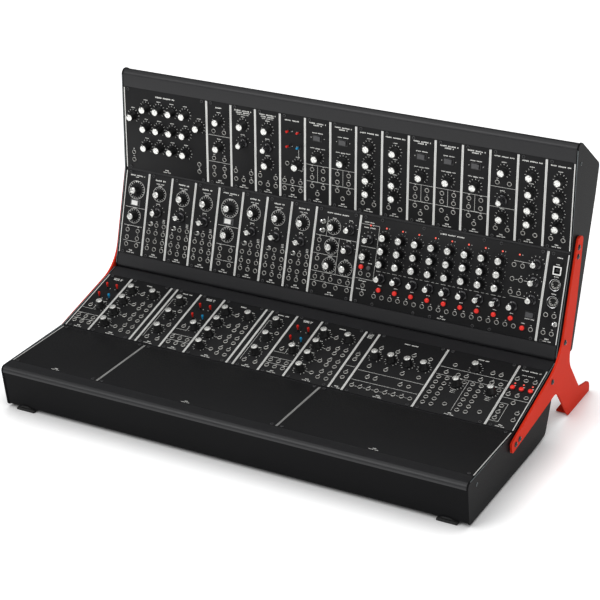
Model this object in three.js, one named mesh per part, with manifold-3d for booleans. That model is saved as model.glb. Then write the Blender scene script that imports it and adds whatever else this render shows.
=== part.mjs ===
// A four-row modular synthesizer: two angled cases joined by side brackets.
// Millimetres. +Z is up, the player sits at -Y, and the origin is the bottom centre.
// Each row has its own frame: x to the right, y up the panel, z out of the panel.

import * as THREE from 'three';
import { mergeVertices } from 'three/addons/utils/BufferGeometryUtils.js';
import Module from 'manifold-3d';

const wasm = await Module();
wasm.setup();

// Module standard
const pitch = 5.08;
const panelHeight = 128.5;
const panelThickness = 2;

// Module widths in pitches; every row adds up to the same width
const unitPitches = 8;
const slimPitches = unitPitches / 4;
const multiplePitches = unitPitches / 2;
const plugPitches = unitPitches - slimPitches;
const mixerPitches = 2 * unitPitches - slimPitches;
const utilityPitches = 3 * mixerPitches / 2;
const bankPitches = 2 * mixerPitches;
const longPitches = 2 * bankPitches;
const rowPitches = bankPitches + 2 * longPitches;

// Rows in a case
const bendHalfGap = 1.5;
const lipWidth = 25.2;
const rowTilt = 15;
const caseTurn = 75;

// Case outline, seen from the side
const caseDepth = 65;
const frontLean = 10.5;
const rearBottomInset = 34.2;
const rearFlatRun = 46;
const rearBottomRise = 3;
const shoulderDepth = 13;
const shoulderOut = 0.8;
const frontTopRadius = 7;
const frontBottomRadius = 5;
const rearBottomRadius = 10;
const shoulderRun = 3.8;
const rearTopRadius = 8;

// Place of the upper case's front corner, from the lower case's rear corner
const nestBack = 3.65;
const nestDown = 4.23;

// Sheet, cheeks and clearances
const gap = 0.3;
const railEndGap = 0.1;
const sheet = 2;
const wallRecess = 1;
const cheekThickness = 2.5;
const cheekEdgeRadius = 2.2;
const overrun = 1;

// Rails
const seamDepth = 9;
const shelfWidth = 11.5;
const railDepth = 21;
const slotWidth = 3;
const slotDepth = 5;
const slotFromEdge = 3;
const ribHalfWidth = 1.1;
const ribTop = 0.8;
const middleRailHalfWidth = 12;
const middleRailDepth = 19;
const middleWingDepth = 7;
const boreRadius = 2.7;
const edgeBoreInset = 4.5;
const edgeBoreDepth = 13.5;
const middleBoreReach = 4.8;
const middleBoreDepth = 14;
const middleBoreWall = 1.5;
const chamberInset = 3;

// Side brackets
const bracketThickness = 3;
const bracketStandoff = 1.3;
const bracketFlangeWidth = 17;
const bracketBelowRow = 2;
const bracketBehindRow = 4.5;
const bracketTipRadius = 8;
const bracketCrookRadius = 60;
const bracketWaistRadius = 35;
const bracketKneeRadius = 14;
const bracketNotchRadius = 22;
const bracketCornerRadius = 4;
const bracketHeelRadius = 1.5;
const screwHeadRadius = 4;
const screwHeadTopRadius = 2.8;
const screwHeadHeight = 2;
const screwShankRadius = 2.2;
const screwHoleRadius = 3.5;
const screwBite = 8;

// Feet
const footHeight = 3;
const footWidth = 29;
const footDepth = 20;
const footFromSide = 14;
const footUpstand = 5;
const footProud = 1.2;
const footArchInset = 10;

// Module electronics and power boards
const moduleGap = 0.3;
const moduleGrooveDepth = 1;
const blockSideInset = 2;
const blockDepth = 13;
const blockClearance = 1;
const boardThickness = 1.6;
const boardDepth = 55;
const boardLengthShare = 0.8;
const boardStandoff = 6;
const boardStandoffRadius = 3.5;
const boardFromBend = 45;
const headerCount = 8;
const headerWidth = 20;
const headerDepth = 9;
const headerHeight = 9;

// Knobs
const knobRadius = 6.5;
const knobTopRadius = 5.7;
const knobCapRadius = 4.8;
const knobHeight = 12.7;
const knobSkirt = 1.6;
const knobCapStep = 0.5;
const shaftRadius = 2.9;
const shaftClearance = 0.15;
const shaftLength = 8;

// Range selectors
const selectorRadius = 7.75;
const selectorSkirt = 3.2;
const selectorNeckRadius = 5.6;
const selectorCapRadius = 3.8;
const selectorHeight = 16.7;
const pointerWidth = 1.4;
const pointerRise = 2.4;

// Toggle switches
const toggleRadius = 2.2;
const toggleHeight = 10;
const toggleCapStart = 3.6;
const toggleStemRadius = 0.9;
const toggleBallRadius = 1.6;
const toggleFlareRadius = 1.6;
const toggleTipRadius = 1.3;
const togglePivotDepth = 1.2;
const toggleNutRadius = 3.6;
const toggleNutHeight = 1.2;
const toggleLean = 8;

// Rocker switches
const rockerLength = 11.2;
const rockerWidth = 7;
const rockerEdgeHeight = 2.8;
const rockerMiddleHeight = 1.9;
const rockerUnderside = 1.2;
const rockerPivotDepth = 0.5;
const rockerKeelRadius = 2.4;
const rockerLean = 8;
const bezelWidth = 1.3;
const bezelHeight = 0.8;

// Push buttons and lamps
const buttonRadius = 3.4;
const buttonTopRadius = 2.4;
const buttonHeight = 3.2;
const buttonShoulder = 1.8;
const buttonTravel = 1.5;
const buttonSeat = 1.5;
const lampRadius = 1.5;
const lampTopRadius = 1.2;
const lampHeight = 1.2;

// Sockets
const jackRadius = 1.75;
const jackDepth = 10;
const dinRadius = 8.5;
const dinRingHeight = 1;
const dinHoleRadius = 6.6;
const dinHoleDepth = 8;
const usbSize = 12;
const usbRise = 0.8;
const usbHoleWidth = 8.6;
const usbHoleHeight = 8;
const usbHoleDepth = 9;

// Facet counts, and how close two corners are to count as one
const cornerSteps = 3;
const knobSides = 10;
const fusedSides = 6;
const jackSides = 4;
const smallSides = 6;
const weldDistance = 1e-4;

// Worked-out sizes
const rowWidth = rowPitches * pitch;
const halfRow = rowWidth / 2;
const panelEdge = bendHalfGap + panelHeight;
const caseReach = panelEdge + lipWidth;
const rearBottomReach = caseReach - rearBottomInset;
const rearFlatReach = rearBottomReach - rearFlatRun;
const railHalf = halfRow + railEndGap;
const cheekInner = railHalf + gap;
const cheekOuter = cheekInner + cheekThickness;
const bracketOuter = cheekOuter + bracketStandoff + bracketThickness;
const floorDepth = caseDepth + footHeight;
const tilt = THREE.MathUtils.degToRad(rowTilt);
const turn = THREE.MathUtils.degToRad(caseTurn);

// Colours from the photograph
const matteBlack = { color: 0x232323, roughness: 0.7, metalness: 0.1 };
const powderBlack = { color: 0x333333, roughness: 0.6, metalness: 0.2 };
const brightRed = { color: 0xc83428, roughness: 0.45, metalness: 0.1 };
const rubberBlack = { color: 0x161616, roughness: 0.9, metalness: 0 };
const boardGreen = { color: 0x1f5a38, roughness: 0.6, metalness: 0 };
const knobBlack = { color: 0x141414, roughness: 0.5, metalness: 0 };
const capRed = { color: 0xd82020, roughness: 0.35, metalness: 0 };
const capBlue = { color: 0x2060c8, roughness: 0.35, metalness: 0 };
const capWhite = { color: 0xe6e6e2, roughness: 0.35, metalness: 0 };
const leverSilver = { color: 0xc8c8c8, roughness: 0.25, metalness: 1 };

// Turns a closed geometry into a solid that can be joined and cut
function solidOf(geometry) {
  const bare = geometry.clone();
  bare.deleteAttribute('normal');
  bare.deleteAttribute('uv');
  const merged = mergeVertices(bare, weldDistance);
  return new wasm.Manifold(new wasm.Mesh({
    numProp: 3,
    vertProperties: new Float32Array(merged.attributes.position.array),
    triVerts: new Uint32Array(merged.index.array),
  }));
}

// Turns a solid back into a named mesh
function meshOf(solid, name, look) {
  const result = solid.getMesh();
  const geometry = new THREE.BufferGeometry();
  geometry.setAttribute('position', new THREE.BufferAttribute(result.vertProperties, 3));
  geometry.setIndex(new THREE.BufferAttribute(result.triVerts, 1));
  geometry.computeVertexNormals();
  const mesh = new THREE.Mesh(geometry, new THREE.MeshStandardMaterial(look));
  mesh.name = name;
  return mesh;
}

// Shape helpers

// A solid of the side outline given as points of (y, z), from one x to another
function alongX(points, from, to) {
  const geometry = new THREE.ExtrudeGeometry(new THREE.Shape(points), { depth: to - from, bevelEnabled: false });
  const axes = new THREE.Matrix4().makeBasis(
    new THREE.Vector3(0, 1, 0),
    new THREE.Vector3(0, 0, 1),
    new THREE.Vector3(1, 0, 0),
  );
  geometry.applyMatrix4(axes);
  geometry.translate(from, 0, 0);
  return solidOf(geometry);
}

// A tapered round bar that stands along z
function post(x, y, bottom, top, bottomRadius, topRadius, sides) {
  const geometry = new THREE.CylinderGeometry(topRadius, bottomRadius, top - bottom, sides);
  geometry.rotateX(Math.PI / 2);
  geometry.translate(x, y, (top + bottom) / 2);
  return solidOf(geometry);
}

// A round bar along x through the point (y, z)
function pinAlongX(point, from, to, startRadius, endRadius, sides) {
  const geometry = new THREE.CylinderGeometry(endRadius, startRadius, Math.abs(to - from), sides);
  geometry.rotateZ(from < to ? -Math.PI / 2 : Math.PI / 2);
  geometry.translate((from + to) / 2, point.x, point.y);
  return solidOf(geometry);
}

// A box between two corners
function box(x0, x1, y0, y1, z0, z1) {
  const geometry = new THREE.BoxGeometry(x1 - x0, y1 - y0, z1 - z0);
  geometry.translate((x0 + x1) / 2, (y0 + y1) / 2, (z0 + z1) / 2);
  return solidOf(geometry);
}

// A turned piece whose profile of (radius, height) starts and ends on the z axis
function turned(profile, sides) {
  const points = profile.map(([radius, height]) => new THREE.Vector2(radius, height));
  const geometry = new THREE.LatheGeometry(points, sides);
  geometry.rotateX(Math.PI / 2);
  return solidOf(geometry);
}

// An outline whose corners are rounded, each by its own radius or by how far it runs along its edges
function roundedOutline(corners, steps = cornerSteps) {
  const outline = [];
  corners.forEach(({ at, radius, run }, index) => {
    const before = corners.at(index - 1).at;
    const after = corners[(index + 1) % corners.length].at;
    if (radius === 0) {
      outline.push(at.clone());
      return;
    }
    const toBefore = before.clone().sub(at).normalize();
    const toAfter = after.clone().sub(at).normalize();
    const halfAngle = Math.acos(toBefore.dot(toAfter)) / 2;
    const along = run ?? radius / Math.tan(halfAngle);
    const middle = toBefore.clone().add(toAfter).normalize();
    const centre = at.clone().addScaledVector(middle, along / Math.cos(halfAngle));
    const start = at.clone().addScaledVector(toBefore, along).sub(centre);
    const side = Math.sign(toAfter.cross(toBefore));
    const sweep = side * (Math.PI - 2 * halfAngle);
    for (let step = 0; step <= steps; step += 1) {
      const arm = start.clone().rotateAround(new THREE.Vector2(0, 0), sweep * step / steps);
      outline.push(centre.clone().add(arm));
    }
  });
  return outline;
}

// The same outline, moved inwards by a distance; it runs clockwise or anticlockwise
function insetOutline(outline, distance) {
  const turnSign = Math.sign(THREE.ShapeUtils.area(outline));
  const quarter = turnSign * Math.PI / 2;
  const origin = new THREE.Vector2(0, 0);
  return outline.map((point, index) => {
    const before = outline.at(index - 1);
    const after = outline[(index + 1) % outline.length];
    const normalIn = point.clone().sub(before).normalize().rotateAround(origin, quarter);
    const normalOut = after.clone().sub(point).normalize().rotateAround(origin, quarter);
    const middle = normalIn.clone().add(normalOut).normalize();
    return point.clone().addScaledVector(middle, distance / middle.dot(normalIn));
  });
}

// The point where the line through a and b meets the line through c and d
function crossing(a, b, c, d) {
  const first = b.clone().sub(a);
  const second = d.clone().sub(c);
  const share = c.clone().sub(a).cross(second) / first.cross(second);
  return a.clone().addScaledVector(first, share);
}

// Side view frames

// A point of the front row: its distance from the bend, and its height over the panels
const onFrontRow = (reach, height) => new THREE.Vector2(-reach, height);

// The same for the rear row, which is tilted up about the bend
function onRearRow(reach, height) {
  return new THREE.Vector2(reach, height).rotateAround(new THREE.Vector2(0, 0), tilt);
}

// The bend of the upper case, seen from the bend of the lower case
function upperBend() {
  const corner = onRearRow(caseReach, 0).sub(new THREE.Vector2(nestBack, nestDown));
  const front = onFrontRow(caseReach, 0).rotateAround(new THREE.Vector2(0, 0), turn);
  return corner.sub(front);
}

// A point given in the upper case's side view, seen from the lower case
function fromUpper(point) {
  return point.clone().rotateAround(new THREE.Vector2(0, 0), turn).add(upperBend());
}

// Outline of one case, without its feet
function caseOutline() {
  return roundedOutline([
    { at: onFrontRow(caseReach, 0), radius: frontTopRadius },
    { at: new THREE.Vector2(frontLean - caseReach, -caseDepth), radius: frontBottomRadius },
    { at: new THREE.Vector2(rearFlatReach, -caseDepth), radius: 0 },
    { at: new THREE.Vector2(rearBottomReach, rearBottomRise - caseDepth), radius: rearBottomRadius },
    { at: onRearRow(caseReach + shoulderOut, -shoulderDepth), run: shoulderRun },
    { at: onRearRow(caseReach, 0), radius: rearTopRadius },
    { at: new THREE.Vector2(0, 0), radius: 0 },
  ]);
}

const outline = caseOutline();

// Screw bores shared by rails, cheeks and brackets
const frontBore = onFrontRow(panelEdge - edgeBoreInset, -edgeBoreDepth);
const rearBore = onRearRow(panelEdge - edgeBoreInset, -edgeBoreDepth);
const middleFrontBore = onFrontRow(middleBoreReach, -middleBoreDepth);
const middleRearBore = onRearRow(middleBoreReach, -middleBoreDepth);
const caseBores = [frontBore, middleFrontBore, middleRearBore, rearBore];

// Case pieces

// End cheek of a case; side is 1 for right and -1 for left
function cheek(side) {
  const bevel = {
    depth: cheekThickness,
    bevelThickness: cheekEdgeRadius,
    bevelSize: cheekEdgeRadius,
    bevelOffset: -cheekEdgeRadius,
    bevelSegments: 1,
  };
  const geometry = new THREE.ExtrudeGeometry(new THREE.Shape(outline), bevel);
  const axes = new THREE.Matrix4().makeBasis(
    new THREE.Vector3(0, 1, 0),
    new THREE.Vector3(0, 0, 1),
    new THREE.Vector3(1, 0, 0),
  );
  geometry.applyMatrix4(axes);
  const inwardDepth = cheekThickness + cheekEdgeRadius;
  const shift = side > 0 ? cheekOuter - inwardDepth : inwardDepth - cheekOuter - cheekThickness;
  geometry.translate(shift, 0, 0);
  const span = caseReach + overrun;
  const kept = [side * cheekInner, side * (cheekOuter + overrun)].sort((a, b) => a - b);
  let solid = solidOf(geometry).intersect(box(kept[0], kept[1], -span, span, -span, span));
  for (const bore of caseBores) {
    const hole = pinAlongX(bore, kept[0] - overrun, kept[1], screwHoleRadius, screwHoleRadius, smallSides);
    solid = solid.subtract(hole);
  }
  return solid;
}

// Everything above the seams where the rails' lips end
function aboveSeams(depth) {
  const far = caseReach + lipWidth;
  return alongX([
    onFrontRow(far, -depth),
    crossing(onFrontRow(far, -depth), onFrontRow(0, -depth), onRearRow(far, -depth), onRearRow(0, -depth)),
    onRearRow(far, -depth),
    onRearRow(far, far),
    onFrontRow(far, far),
  ], -cheekOuter, cheekOuter);
}

// Folded sheet tray: front wall, bottom and rear wall
function tray() {
  const outer = alongX(insetOutline(outline, wallRecess), -railHalf, railHalf);
  const inner = alongX(insetOutline(outline, wallRecess + sheet), -cheekOuter, cheekOuter);
  return outer.subtract(inner).subtract(aboveSeams(seamDepth + gap));
}

// Front or rear rail: a lip level with the panels, and a shelf under their edge
function edgeRail(onRow, bore) {
  const shelfStart = panelEdge - shelfWidth;
  const shelfDepth = panelThickness + gap;
  const far = caseReach + lipWidth;
  const body = alongX([
    onRow(shelfStart, -shelfDepth),
    onRow(panelEdge + gap, -shelfDepth),
    onRow(panelEdge + gap, 0),
    onRow(far, 0),
    onRow(far, -railDepth),
    onRow(shelfStart, -railDepth),
  ], -railHalf, railHalf);
  const shell = alongX(outline, -cheekOuter, cheekOuter);
  const inside = alongX(insetOutline(outline, wallRecess + sheet + gap), -cheekOuter, cheekOuter);
  const slotStart = panelEdge - slotFromEdge - slotWidth / 2;
  const slot = alongX([
    onRow(slotStart, 0),
    onRow(slotStart + slotWidth, 0),
    onRow(slotStart + slotWidth, -shelfDepth - slotDepth),
    onRow(slotStart, -shelfDepth - slotDepth),
  ], -cheekOuter, cheekOuter);
  const chamberStart = panelEdge + chamberInset;
  const chamberEnd = caseReach - rearTopRadius - chamberInset;
  const chamber = alongX([
    onRow(chamberStart, -chamberInset),
    onRow(chamberEnd, -chamberInset),
    onRow(chamberEnd, -seamDepth),
    onRow(chamberStart, -seamDepth),
  ], -cheekOuter, cheekOuter);
  const lip = body.intersect(shell).intersect(aboveSeams(seamDepth));
  const flange = body.intersect(inside);
  const hole = pinAlongX(bore, -cheekOuter, cheekOuter, boreRadius, boreRadius, jackSides);
  return lip.add(flange).subtract(slot).subtract(chamber).subtract(hole);
}

// Middle rail under both rows, with a rib between the panel edges
function middleRail() {
  const shelfDepth = panelThickness + gap;
  const wing = shelfDepth + middleWingDepth;
  const stem = middleBoreReach + boreRadius + middleBoreWall;
  let solid = alongX([
    onFrontRow(middleRailHalfWidth, -shelfDepth),
    onFrontRow(ribHalfWidth, -shelfDepth),
    onFrontRow(ribHalfWidth, -ribTop),
    onRearRow(ribHalfWidth, -ribTop),
    onRearRow(ribHalfWidth, -shelfDepth),
    onRearRow(middleRailHalfWidth, -shelfDepth),
    onRearRow(middleRailHalfWidth, -wing),
    onRearRow(stem, -wing),
    onRearRow(stem, -middleRailDepth),
    onFrontRow(stem, -middleRailDepth),
    onFrontRow(stem, -wing),
    onFrontRow(middleRailHalfWidth, -wing),
  ].reverse(), -railHalf, railHalf);
  for (const onRow of [onFrontRow, onRearRow]) {
    const slotStart = bendHalfGap + slotFromEdge - slotWidth / 2;
    solid = solid.subtract(alongX([
      onRow(slotStart, 0),
      onRow(slotStart + slotWidth, 0),
      onRow(slotStart + slotWidth, -shelfDepth - slotDepth),
      onRow(slotStart, -shelfDepth - slotDepth),
    ], -cheekOuter, cheekOuter));
  }
  for (const bore of [middleFrontBore, middleRearBore]) {
    solid = solid.subtract(pinAlongX(bore, -cheekOuter, cheekOuter, boreRadius, boreRadius, jackSides));
  }
  return solid;
}

// Where a foot stands along x, nearest end first
function footSpan(side) {
  const outerX = side * (halfRow - footFromSide);
  return [outerX, outerX - side * footWidth].sort((a, b) => a - b);
}

// Rubber foot that wraps the lower case's front bottom edge, with an arched upstand
function frontFoot(side) {
  const [from, to] = footSpan(side);
  const seat = insetOutline(outline, wallRecess - gap);
  const skin = insetOutline(outline, wallRecess - gap - footProud);
  const cornerY = frontLean - caseReach;
  const innerY = cornerY + footDepth;
  const archTop = footUpstand - caseDepth;
  const wrap = alongX(skin, from, to)
    .intersect(box(from, to, cornerY - lipWidth, innerY, -floorDepth, archTop));
  const pad = box(from, to, cornerY - footProud, innerY, -floorDepth, wallRecess - caseDepth);
  const middleX = (from + to) / 2;
  const archFlat = footWidth / 2 - footArchInset;
  const arch = [
    new THREE.Vector2(from, -floorDepth),
    new THREE.Vector2(to, -floorDepth),
    new THREE.Vector2(to, archTop - footUpstand),
    new THREE.Vector2(middleX + archFlat, archTop),
    new THREE.Vector2(middleX - archFlat, archTop),
    new THREE.Vector2(from, archTop - footUpstand),
  ];
  const archGeometry = new THREE.ExtrudeGeometry(new THREE.Shape(arch), { depth: 2 * caseReach, bevelEnabled: false });
  archGeometry.rotateX(Math.PI / 2);
  archGeometry.translate(0, caseReach, 0);
  return wrap.add(pad).subtract(alongX(seat, -cheekOuter, cheekOuter)).intersect(solidOf(archGeometry));
}

// Flat rubber foot under the back of the lower case
function rearFoot(side) {
  const [from, to] = footSpan(side);
  const top = wallRecess - gap - caseDepth;
  return box(from, to, rearFlatReach - footDepth, rearFlatReach, -floorDepth, top);
}

// Power distribution board with its row of module headers, on four standoffs
function powerBoard() {
  const halfLength = halfRow * boardLengthShare;
  const floorTop = wallRecess + sheet - caseDepth;
  const underside = floorTop + boardStandoff;
  const nearY = -boardFromBend - boardDepth;
  let solid = box(-halfLength, halfLength, nearY, -boardFromBend, underside, underside + boardThickness);
  for (const x of [boardStandoffRadius - halfLength, halfLength - boardStandoffRadius]) {
    for (const y of [nearY + boardStandoffRadius, -boardFromBend - boardStandoffRadius]) {
      const top = underside + boardThickness / 2;
      solid = solid.add(post(x, y, floorTop + gap, top, boardStandoffRadius, boardStandoffRadius, jackSides));
    }
  }
  const middleY = nearY + boardDepth / 2;
  const step = 2 * halfLength / headerCount;
  for (let index = 0; index < headerCount; index += 1) {
    const x = -halfLength + step * (index + 1 / 2);
    const top = underside + boardThickness + headerHeight;
    const header = box(
      x - headerWidth / 2,
      x + headerWidth / 2,
      middleY - headerDepth / 2,
      middleY + headerDepth / 2,
      underside + boardThickness / 2,
      top,
    );
    solid = solid.add(header);
  }
  return solid;
}

// Side bracket

// Corners of the bracket's foot and lower arm, as shares of the case's reach and of the floor's depth
const bracketLowerShares = {
  waist: [1.217, 0.311],
  knee: [1.55, -0.6],
  toeTop: [1.843, -0.744],
  heel: [1.848, -1],
  toe: [1.295, -1],
  notch: [0.943, -0.089],
  armBottom: [-0.097, -0.353],
};

// How far its lower arm runs past the bend, as a share of the case's reach
const armPastBendShare = 0.129;

// Corners of its upper arm in the upper case's side view, as shares of the case's reach
const bracketUpperShares = {
  tip: [0.153, -0.164],
  back: [-0.445, -0.253],
};

function bracketOutline() {
  const lower = (name) => {
    const [reachShare, depthShare] = bracketLowerShares[name];
    return new THREE.Vector2(reachShare * caseReach, depthShare * floorDepth);
  };
  const upper = (name) => {
    const [reachShare, depthShare] = bracketUpperShares[name];
    return fromUpper(new THREE.Vector2(reachShare * caseReach, depthShare * caseReach));
  };
  const tipReach = bracketUpperShares.tip[0] * caseReach;
  const armStart = onRearRow(-armPastBendShare * caseReach, -bracketBelowRow);
  const armEnd = fromUpper(new THREE.Vector2(tipReach, -bracketBehindRow));
  const crook = crossing(
    armStart,
    onRearRow(caseReach, -bracketBelowRow),
    fromUpper(onFrontRow(caseReach, -bracketBehindRow)),
    armEnd,
  );
  return roundedOutline([
    { at: lower('armBottom'), radius: bracketCornerRadius },
    { at: lower('notch'), radius: bracketNotchRadius },
    { at: lower('toe'), radius: bracketCornerRadius },
    { at: lower('heel'), radius: bracketHeelRadius },
    { at: lower('toeTop'), radius: bracketKneeRadius },
    { at: lower('knee'), radius: bracketKneeRadius },
    { at: lower('waist'), radius: bracketWaistRadius },
    { at: upper('back'), radius: bracketWaistRadius },
    { at: upper('tip'), radius: bracketTipRadius },
    { at: armEnd, radius: bracketTipRadius },
    { at: crook, radius: bracketCrookRadius },
    { at: armStart, radius: bracketCornerRadius },
  ]);
}

// Painted plate outside the cheeks, folded inwards along the floor, with its screws
function bracket(side) {
  const inner = side * (cheekOuter + bracketStandoff);
  const outer = side * bracketOuter;
  const [from, to] = [inner, outer].sort((a, b) => a - b);
  let solid = alongX(bracketOutline(), from, to);
  const toeY = bracketLowerShares.toe[0] * caseReach + bracketCornerRadius;
  const heelY = bracketLowerShares.heel[0] * caseReach - bracketCornerRadius;
  const flangeInner = inner - side * bracketFlangeWidth;
  const [flangeFrom, flangeTo] = [flangeInner, outer].sort((a, b) => a - b);
  solid = solid.add(box(flangeFrom, flangeTo, toeY, heelY, -floorDepth, bracketThickness - floorDepth));
  const screws = [
    middleFrontBore,
    middleRearBore,
    rearBore,
    fromUpper(frontBore),
    fromUpper(middleFrontBore),
    fromUpper(middleRearBore),
  ];
  const headEnd = side * (bracketOuter + screwHeadHeight);
  const headStart = side * (bracketOuter - bracketThickness / 2);
  const shankEnd = side * (railHalf - screwBite);
  for (const screw of screws) {
    const head = pinAlongX(screw, headStart, headEnd, screwHeadRadius, screwHeadTopRadius, smallSides);
    const shank = pinAlongX(screw, headStart, shankEnd, screwShankRadius, screwShankRadius, jackSides);
    solid = solid.add(head).add(shank);
  }
  return solid;
}

// Controls, each built about its own place on the panel
// A loose control hands back its own solid, with what the module gains and loses for it

const shaftHoleRadius = (shaftRadius + shaftClearance) / Math.cos(Math.PI / knobSides);

function shaftHole() {
  return post(0, 0, -shaftLength - gap, overrun, shaftHoleRadius, shaftHoleRadius, knobSides);
}

const knob = {
  fused: () => post(0, 0, -overrun, knobHeight, knobRadius, knobTopRadius, fusedSides),
  loose: () => ({
    solid: turned([
      [0, -shaftLength],
      [shaftRadius, -shaftLength],
      [shaftRadius, gap],
      [knobRadius, gap],
      [knobRadius, knobSkirt],
      [knobTopRadius, knobHeight - knobCapStep],
      [knobCapRadius, knobHeight],
      [0, knobHeight],
    ], knobSides),
    cut: shaftHole(),
    look: knobBlack,
  }),
};

const selector = {
  fused: () => post(0, 0, -overrun, selectorSkirt, selectorRadius, selectorRadius, fusedSides)
    .add(post(0, 0, 0, selectorHeight, selectorNeckRadius, selectorCapRadius, fusedSides)),
  loose: () => {
    const body = turned([
      [0, -shaftLength],
      [shaftRadius, -shaftLength],
      [shaftRadius, gap],
      [selectorRadius, gap],
      [selectorRadius, selectorSkirt],
      [selectorNeckRadius, selectorSkirt + pointerWidth],
      [selectorCapRadius, selectorHeight],
      [0, selectorHeight],
    ], knobSides);
    const pointer = box(
      -pointerWidth / 2,
      pointerWidth / 2,
      0,
      selectorRadius - pointerWidth / 2,
      selectorSkirt / 2,
      selectorSkirt + pointerRise,
    );
    return { solid: body.add(pointer), cut: shaftHole(), look: knobBlack };
  },
};

// A lever about a ball at its pivot
function lever() {
  const pivot = -togglePivotDepth;
  return turned([
    [0, pivot - toggleBallRadius],
    [toggleBallRadius, pivot],
    [toggleStemRadius, pivot + toggleBallRadius],
    [toggleStemRadius, toggleCapStart - toggleStemRadius],
    [toggleFlareRadius, toggleCapStart],
    [toggleRadius, toggleHeight - toggleTipRadius],
    [toggleTipRadius, toggleHeight],
    [0, toggleHeight],
  ], smallSides);
}

const toggle = {
  fused: () => {
    const geometry = new THREE.CylinderGeometry(toggleRadius, toggleStemRadius, toggleHeight + overrun, jackSides);
    geometry.translate(0, (toggleHeight - overrun) / 2, 0);
    geometry.rotateX(Math.PI / 2 - THREE.MathUtils.degToRad(toggleLean));
    return solidOf(geometry);
  },
  loose: (look) => {
    const nutHole = toggleBallRadius + 2 * gap;
    const seat = toggleBallRadius + gap;
    const floor = -togglePivotDepth - toggleBallRadius - gap;
    const wide = post(0, 0, -togglePivotDepth, toggleNutHeight + overrun, seat, nutHole + gap, smallSides);
    return {
      solid: lever(),
      add: post(0, 0, -overrun, toggleNutHeight, toggleNutRadius, toggleNutRadius, jackSides),
      cut: wide.add(post(0, 0, floor, gap - togglePivotDepth, seat, seat, smallSides)),
      pivotHeight: -togglePivotDepth,
      lean: -toggleLean,
      look,
    };
  },
};

// Side profile of a rocker across its length, in (x, z), extruded across its width
function rockerPaddle() {
  const half = rockerLength / 2;
  const keel = [];
  for (let step = 0; step <= cornerSteps; step += 1) {
    const angle = Math.PI * step / cornerSteps;
    const reach = rockerKeelRadius * Math.cos(angle);
    keel.push(new THREE.Vector2(reach, -rockerPivotDepth - rockerKeelRadius * Math.sin(angle)));
  }
  const profile = [
    new THREE.Vector2(-half, rockerEdgeHeight),
    new THREE.Vector2(-half, -rockerUnderside),
    ...keel.reverse().filter((point) => point.y < -rockerUnderside),
    new THREE.Vector2(half, -rockerUnderside),
    new THREE.Vector2(half, rockerEdgeHeight),
    new THREE.Vector2(0, rockerMiddleHeight),
  ];
  const geometry = new THREE.ExtrudeGeometry(new THREE.Shape(profile), { depth: rockerWidth, bevelEnabled: false });
  geometry.rotateX(Math.PI / 2);
  geometry.translate(0, rockerWidth / 2, 0);
  return solidOf(geometry);
}

function rockerBezel() {
  const halfX = rockerLength / 2 + bezelWidth + gap;
  const halfY = rockerWidth / 2 + bezelWidth;
  return box(-halfX, halfX, -halfY, halfY, -overrun, bezelHeight);
}

const rocker = {
  fused: () => {
    const halfX = rockerLength / 2;
    const halfY = rockerWidth / 2;
    return rockerBezel().add(box(-halfX, halfX, -halfY, halfY, -overrun, rockerEdgeHeight));
  },
  loose: (look) => {
    const swing = THREE.MathUtils.degToRad(rockerLean);
    const reach = Math.hypot(rockerLength / 2, rockerEdgeHeight + rockerPivotDepth);
    const halfX = rockerLength / 2 * Math.cos(swing) + rockerEdgeHeight * Math.sin(swing) + gap;
    const halfY = rockerWidth / 2 + gap;
    const floor = -rockerPivotDepth - rockerKeelRadius - gap;
    return {
      solid: rockerPaddle(),
      add: rockerBezel(),
      cut: box(-halfX, halfX, -halfY, halfY, floor, reach),
      pivotHeight: -rockerPivotDepth,
      leanAcross: -rockerLean,
      look,
    };
  },
};

const button = {
  fused: () => post(0, 0, -overrun, buttonHeight, buttonRadius, buttonTopRadius, fusedSides),
  loose: () => ({
    solid: turned([
      [0, -buttonSeat],
      [buttonRadius, -buttonSeat],
      [buttonRadius, buttonShoulder],
      [buttonTopRadius, buttonHeight],
      [0, buttonHeight],
    ], knobSides),
    cut: post(0, 0, -buttonSeat - buttonTravel - gap, overrun, buttonRadius + gap, buttonRadius + gap, knobSides),
    look: capRed,
  }),
};

const lamp = {
  fused: () => post(0, 0, -overrun, lampHeight, lampRadius, lampTopRadius, jackSides),
};

const jack = {
  hole: () => post(0, 0, -jackDepth, overrun, jackRadius, jackRadius, jackSides),
};

const din = {
  fused: () => post(0, 0, -overrun, dinRingHeight, dinRadius, dinRadius, knobSides),
  hole: () => post(0, 0, -dinHoleDepth, dinRingHeight + overrun, dinHoleRadius, dinHoleRadius, knobSides),
};

const usb = {
  fused: () => box(-usbSize / 2, usbSize / 2, -usbSize / 2, usbSize / 2, -overrun, usbRise),
  hole: () => {
    const halfX = usbHoleWidth / 2;
    const halfY = usbHoleHeight / 2;
    return box(-halfX, halfX, -halfY, halfY, -usbHoleDepth, usbRise + overrun);
  },
};

const kinds = { knob, selector, toggle, rocker, button, lamp, jack, din, usb };

// Panel layouts: places as shares of the panel's width from the left and of its height

// Every pairing of the x shares with the y shares
function grid(xShares, yShares) {
  return yShares.flatMap((y) => xShares.map((x) => [x, y]));
}

const filterBankShares = {
  knob: [...grid([0.264, 0.422, 0.58, 0.742], [0.777, 0.543, 0.31]), [0.105, 0.66], [0.907, 0.66]],
  jack: [[0.098, 0.21], [0.098, 0.117], [0.9, 0.206], [0.9, 0.117]],
};

const noiseShares = {
  knob: [[0.5, 0.777], [0.5, 0.459]],
  jack: grid([0.283, 0.714], [0.646, 0.319, 0.206, 0.117]),
};

const lowPassShares = {
  knob: [[0.5, 0.777]],
  selector: [[0.5, 0.56]],
  jack: [[0.185, 0.214], [0.82, 0.214], ...grid([0.19, 0.5, 0.82], [0.117])],
};

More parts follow.
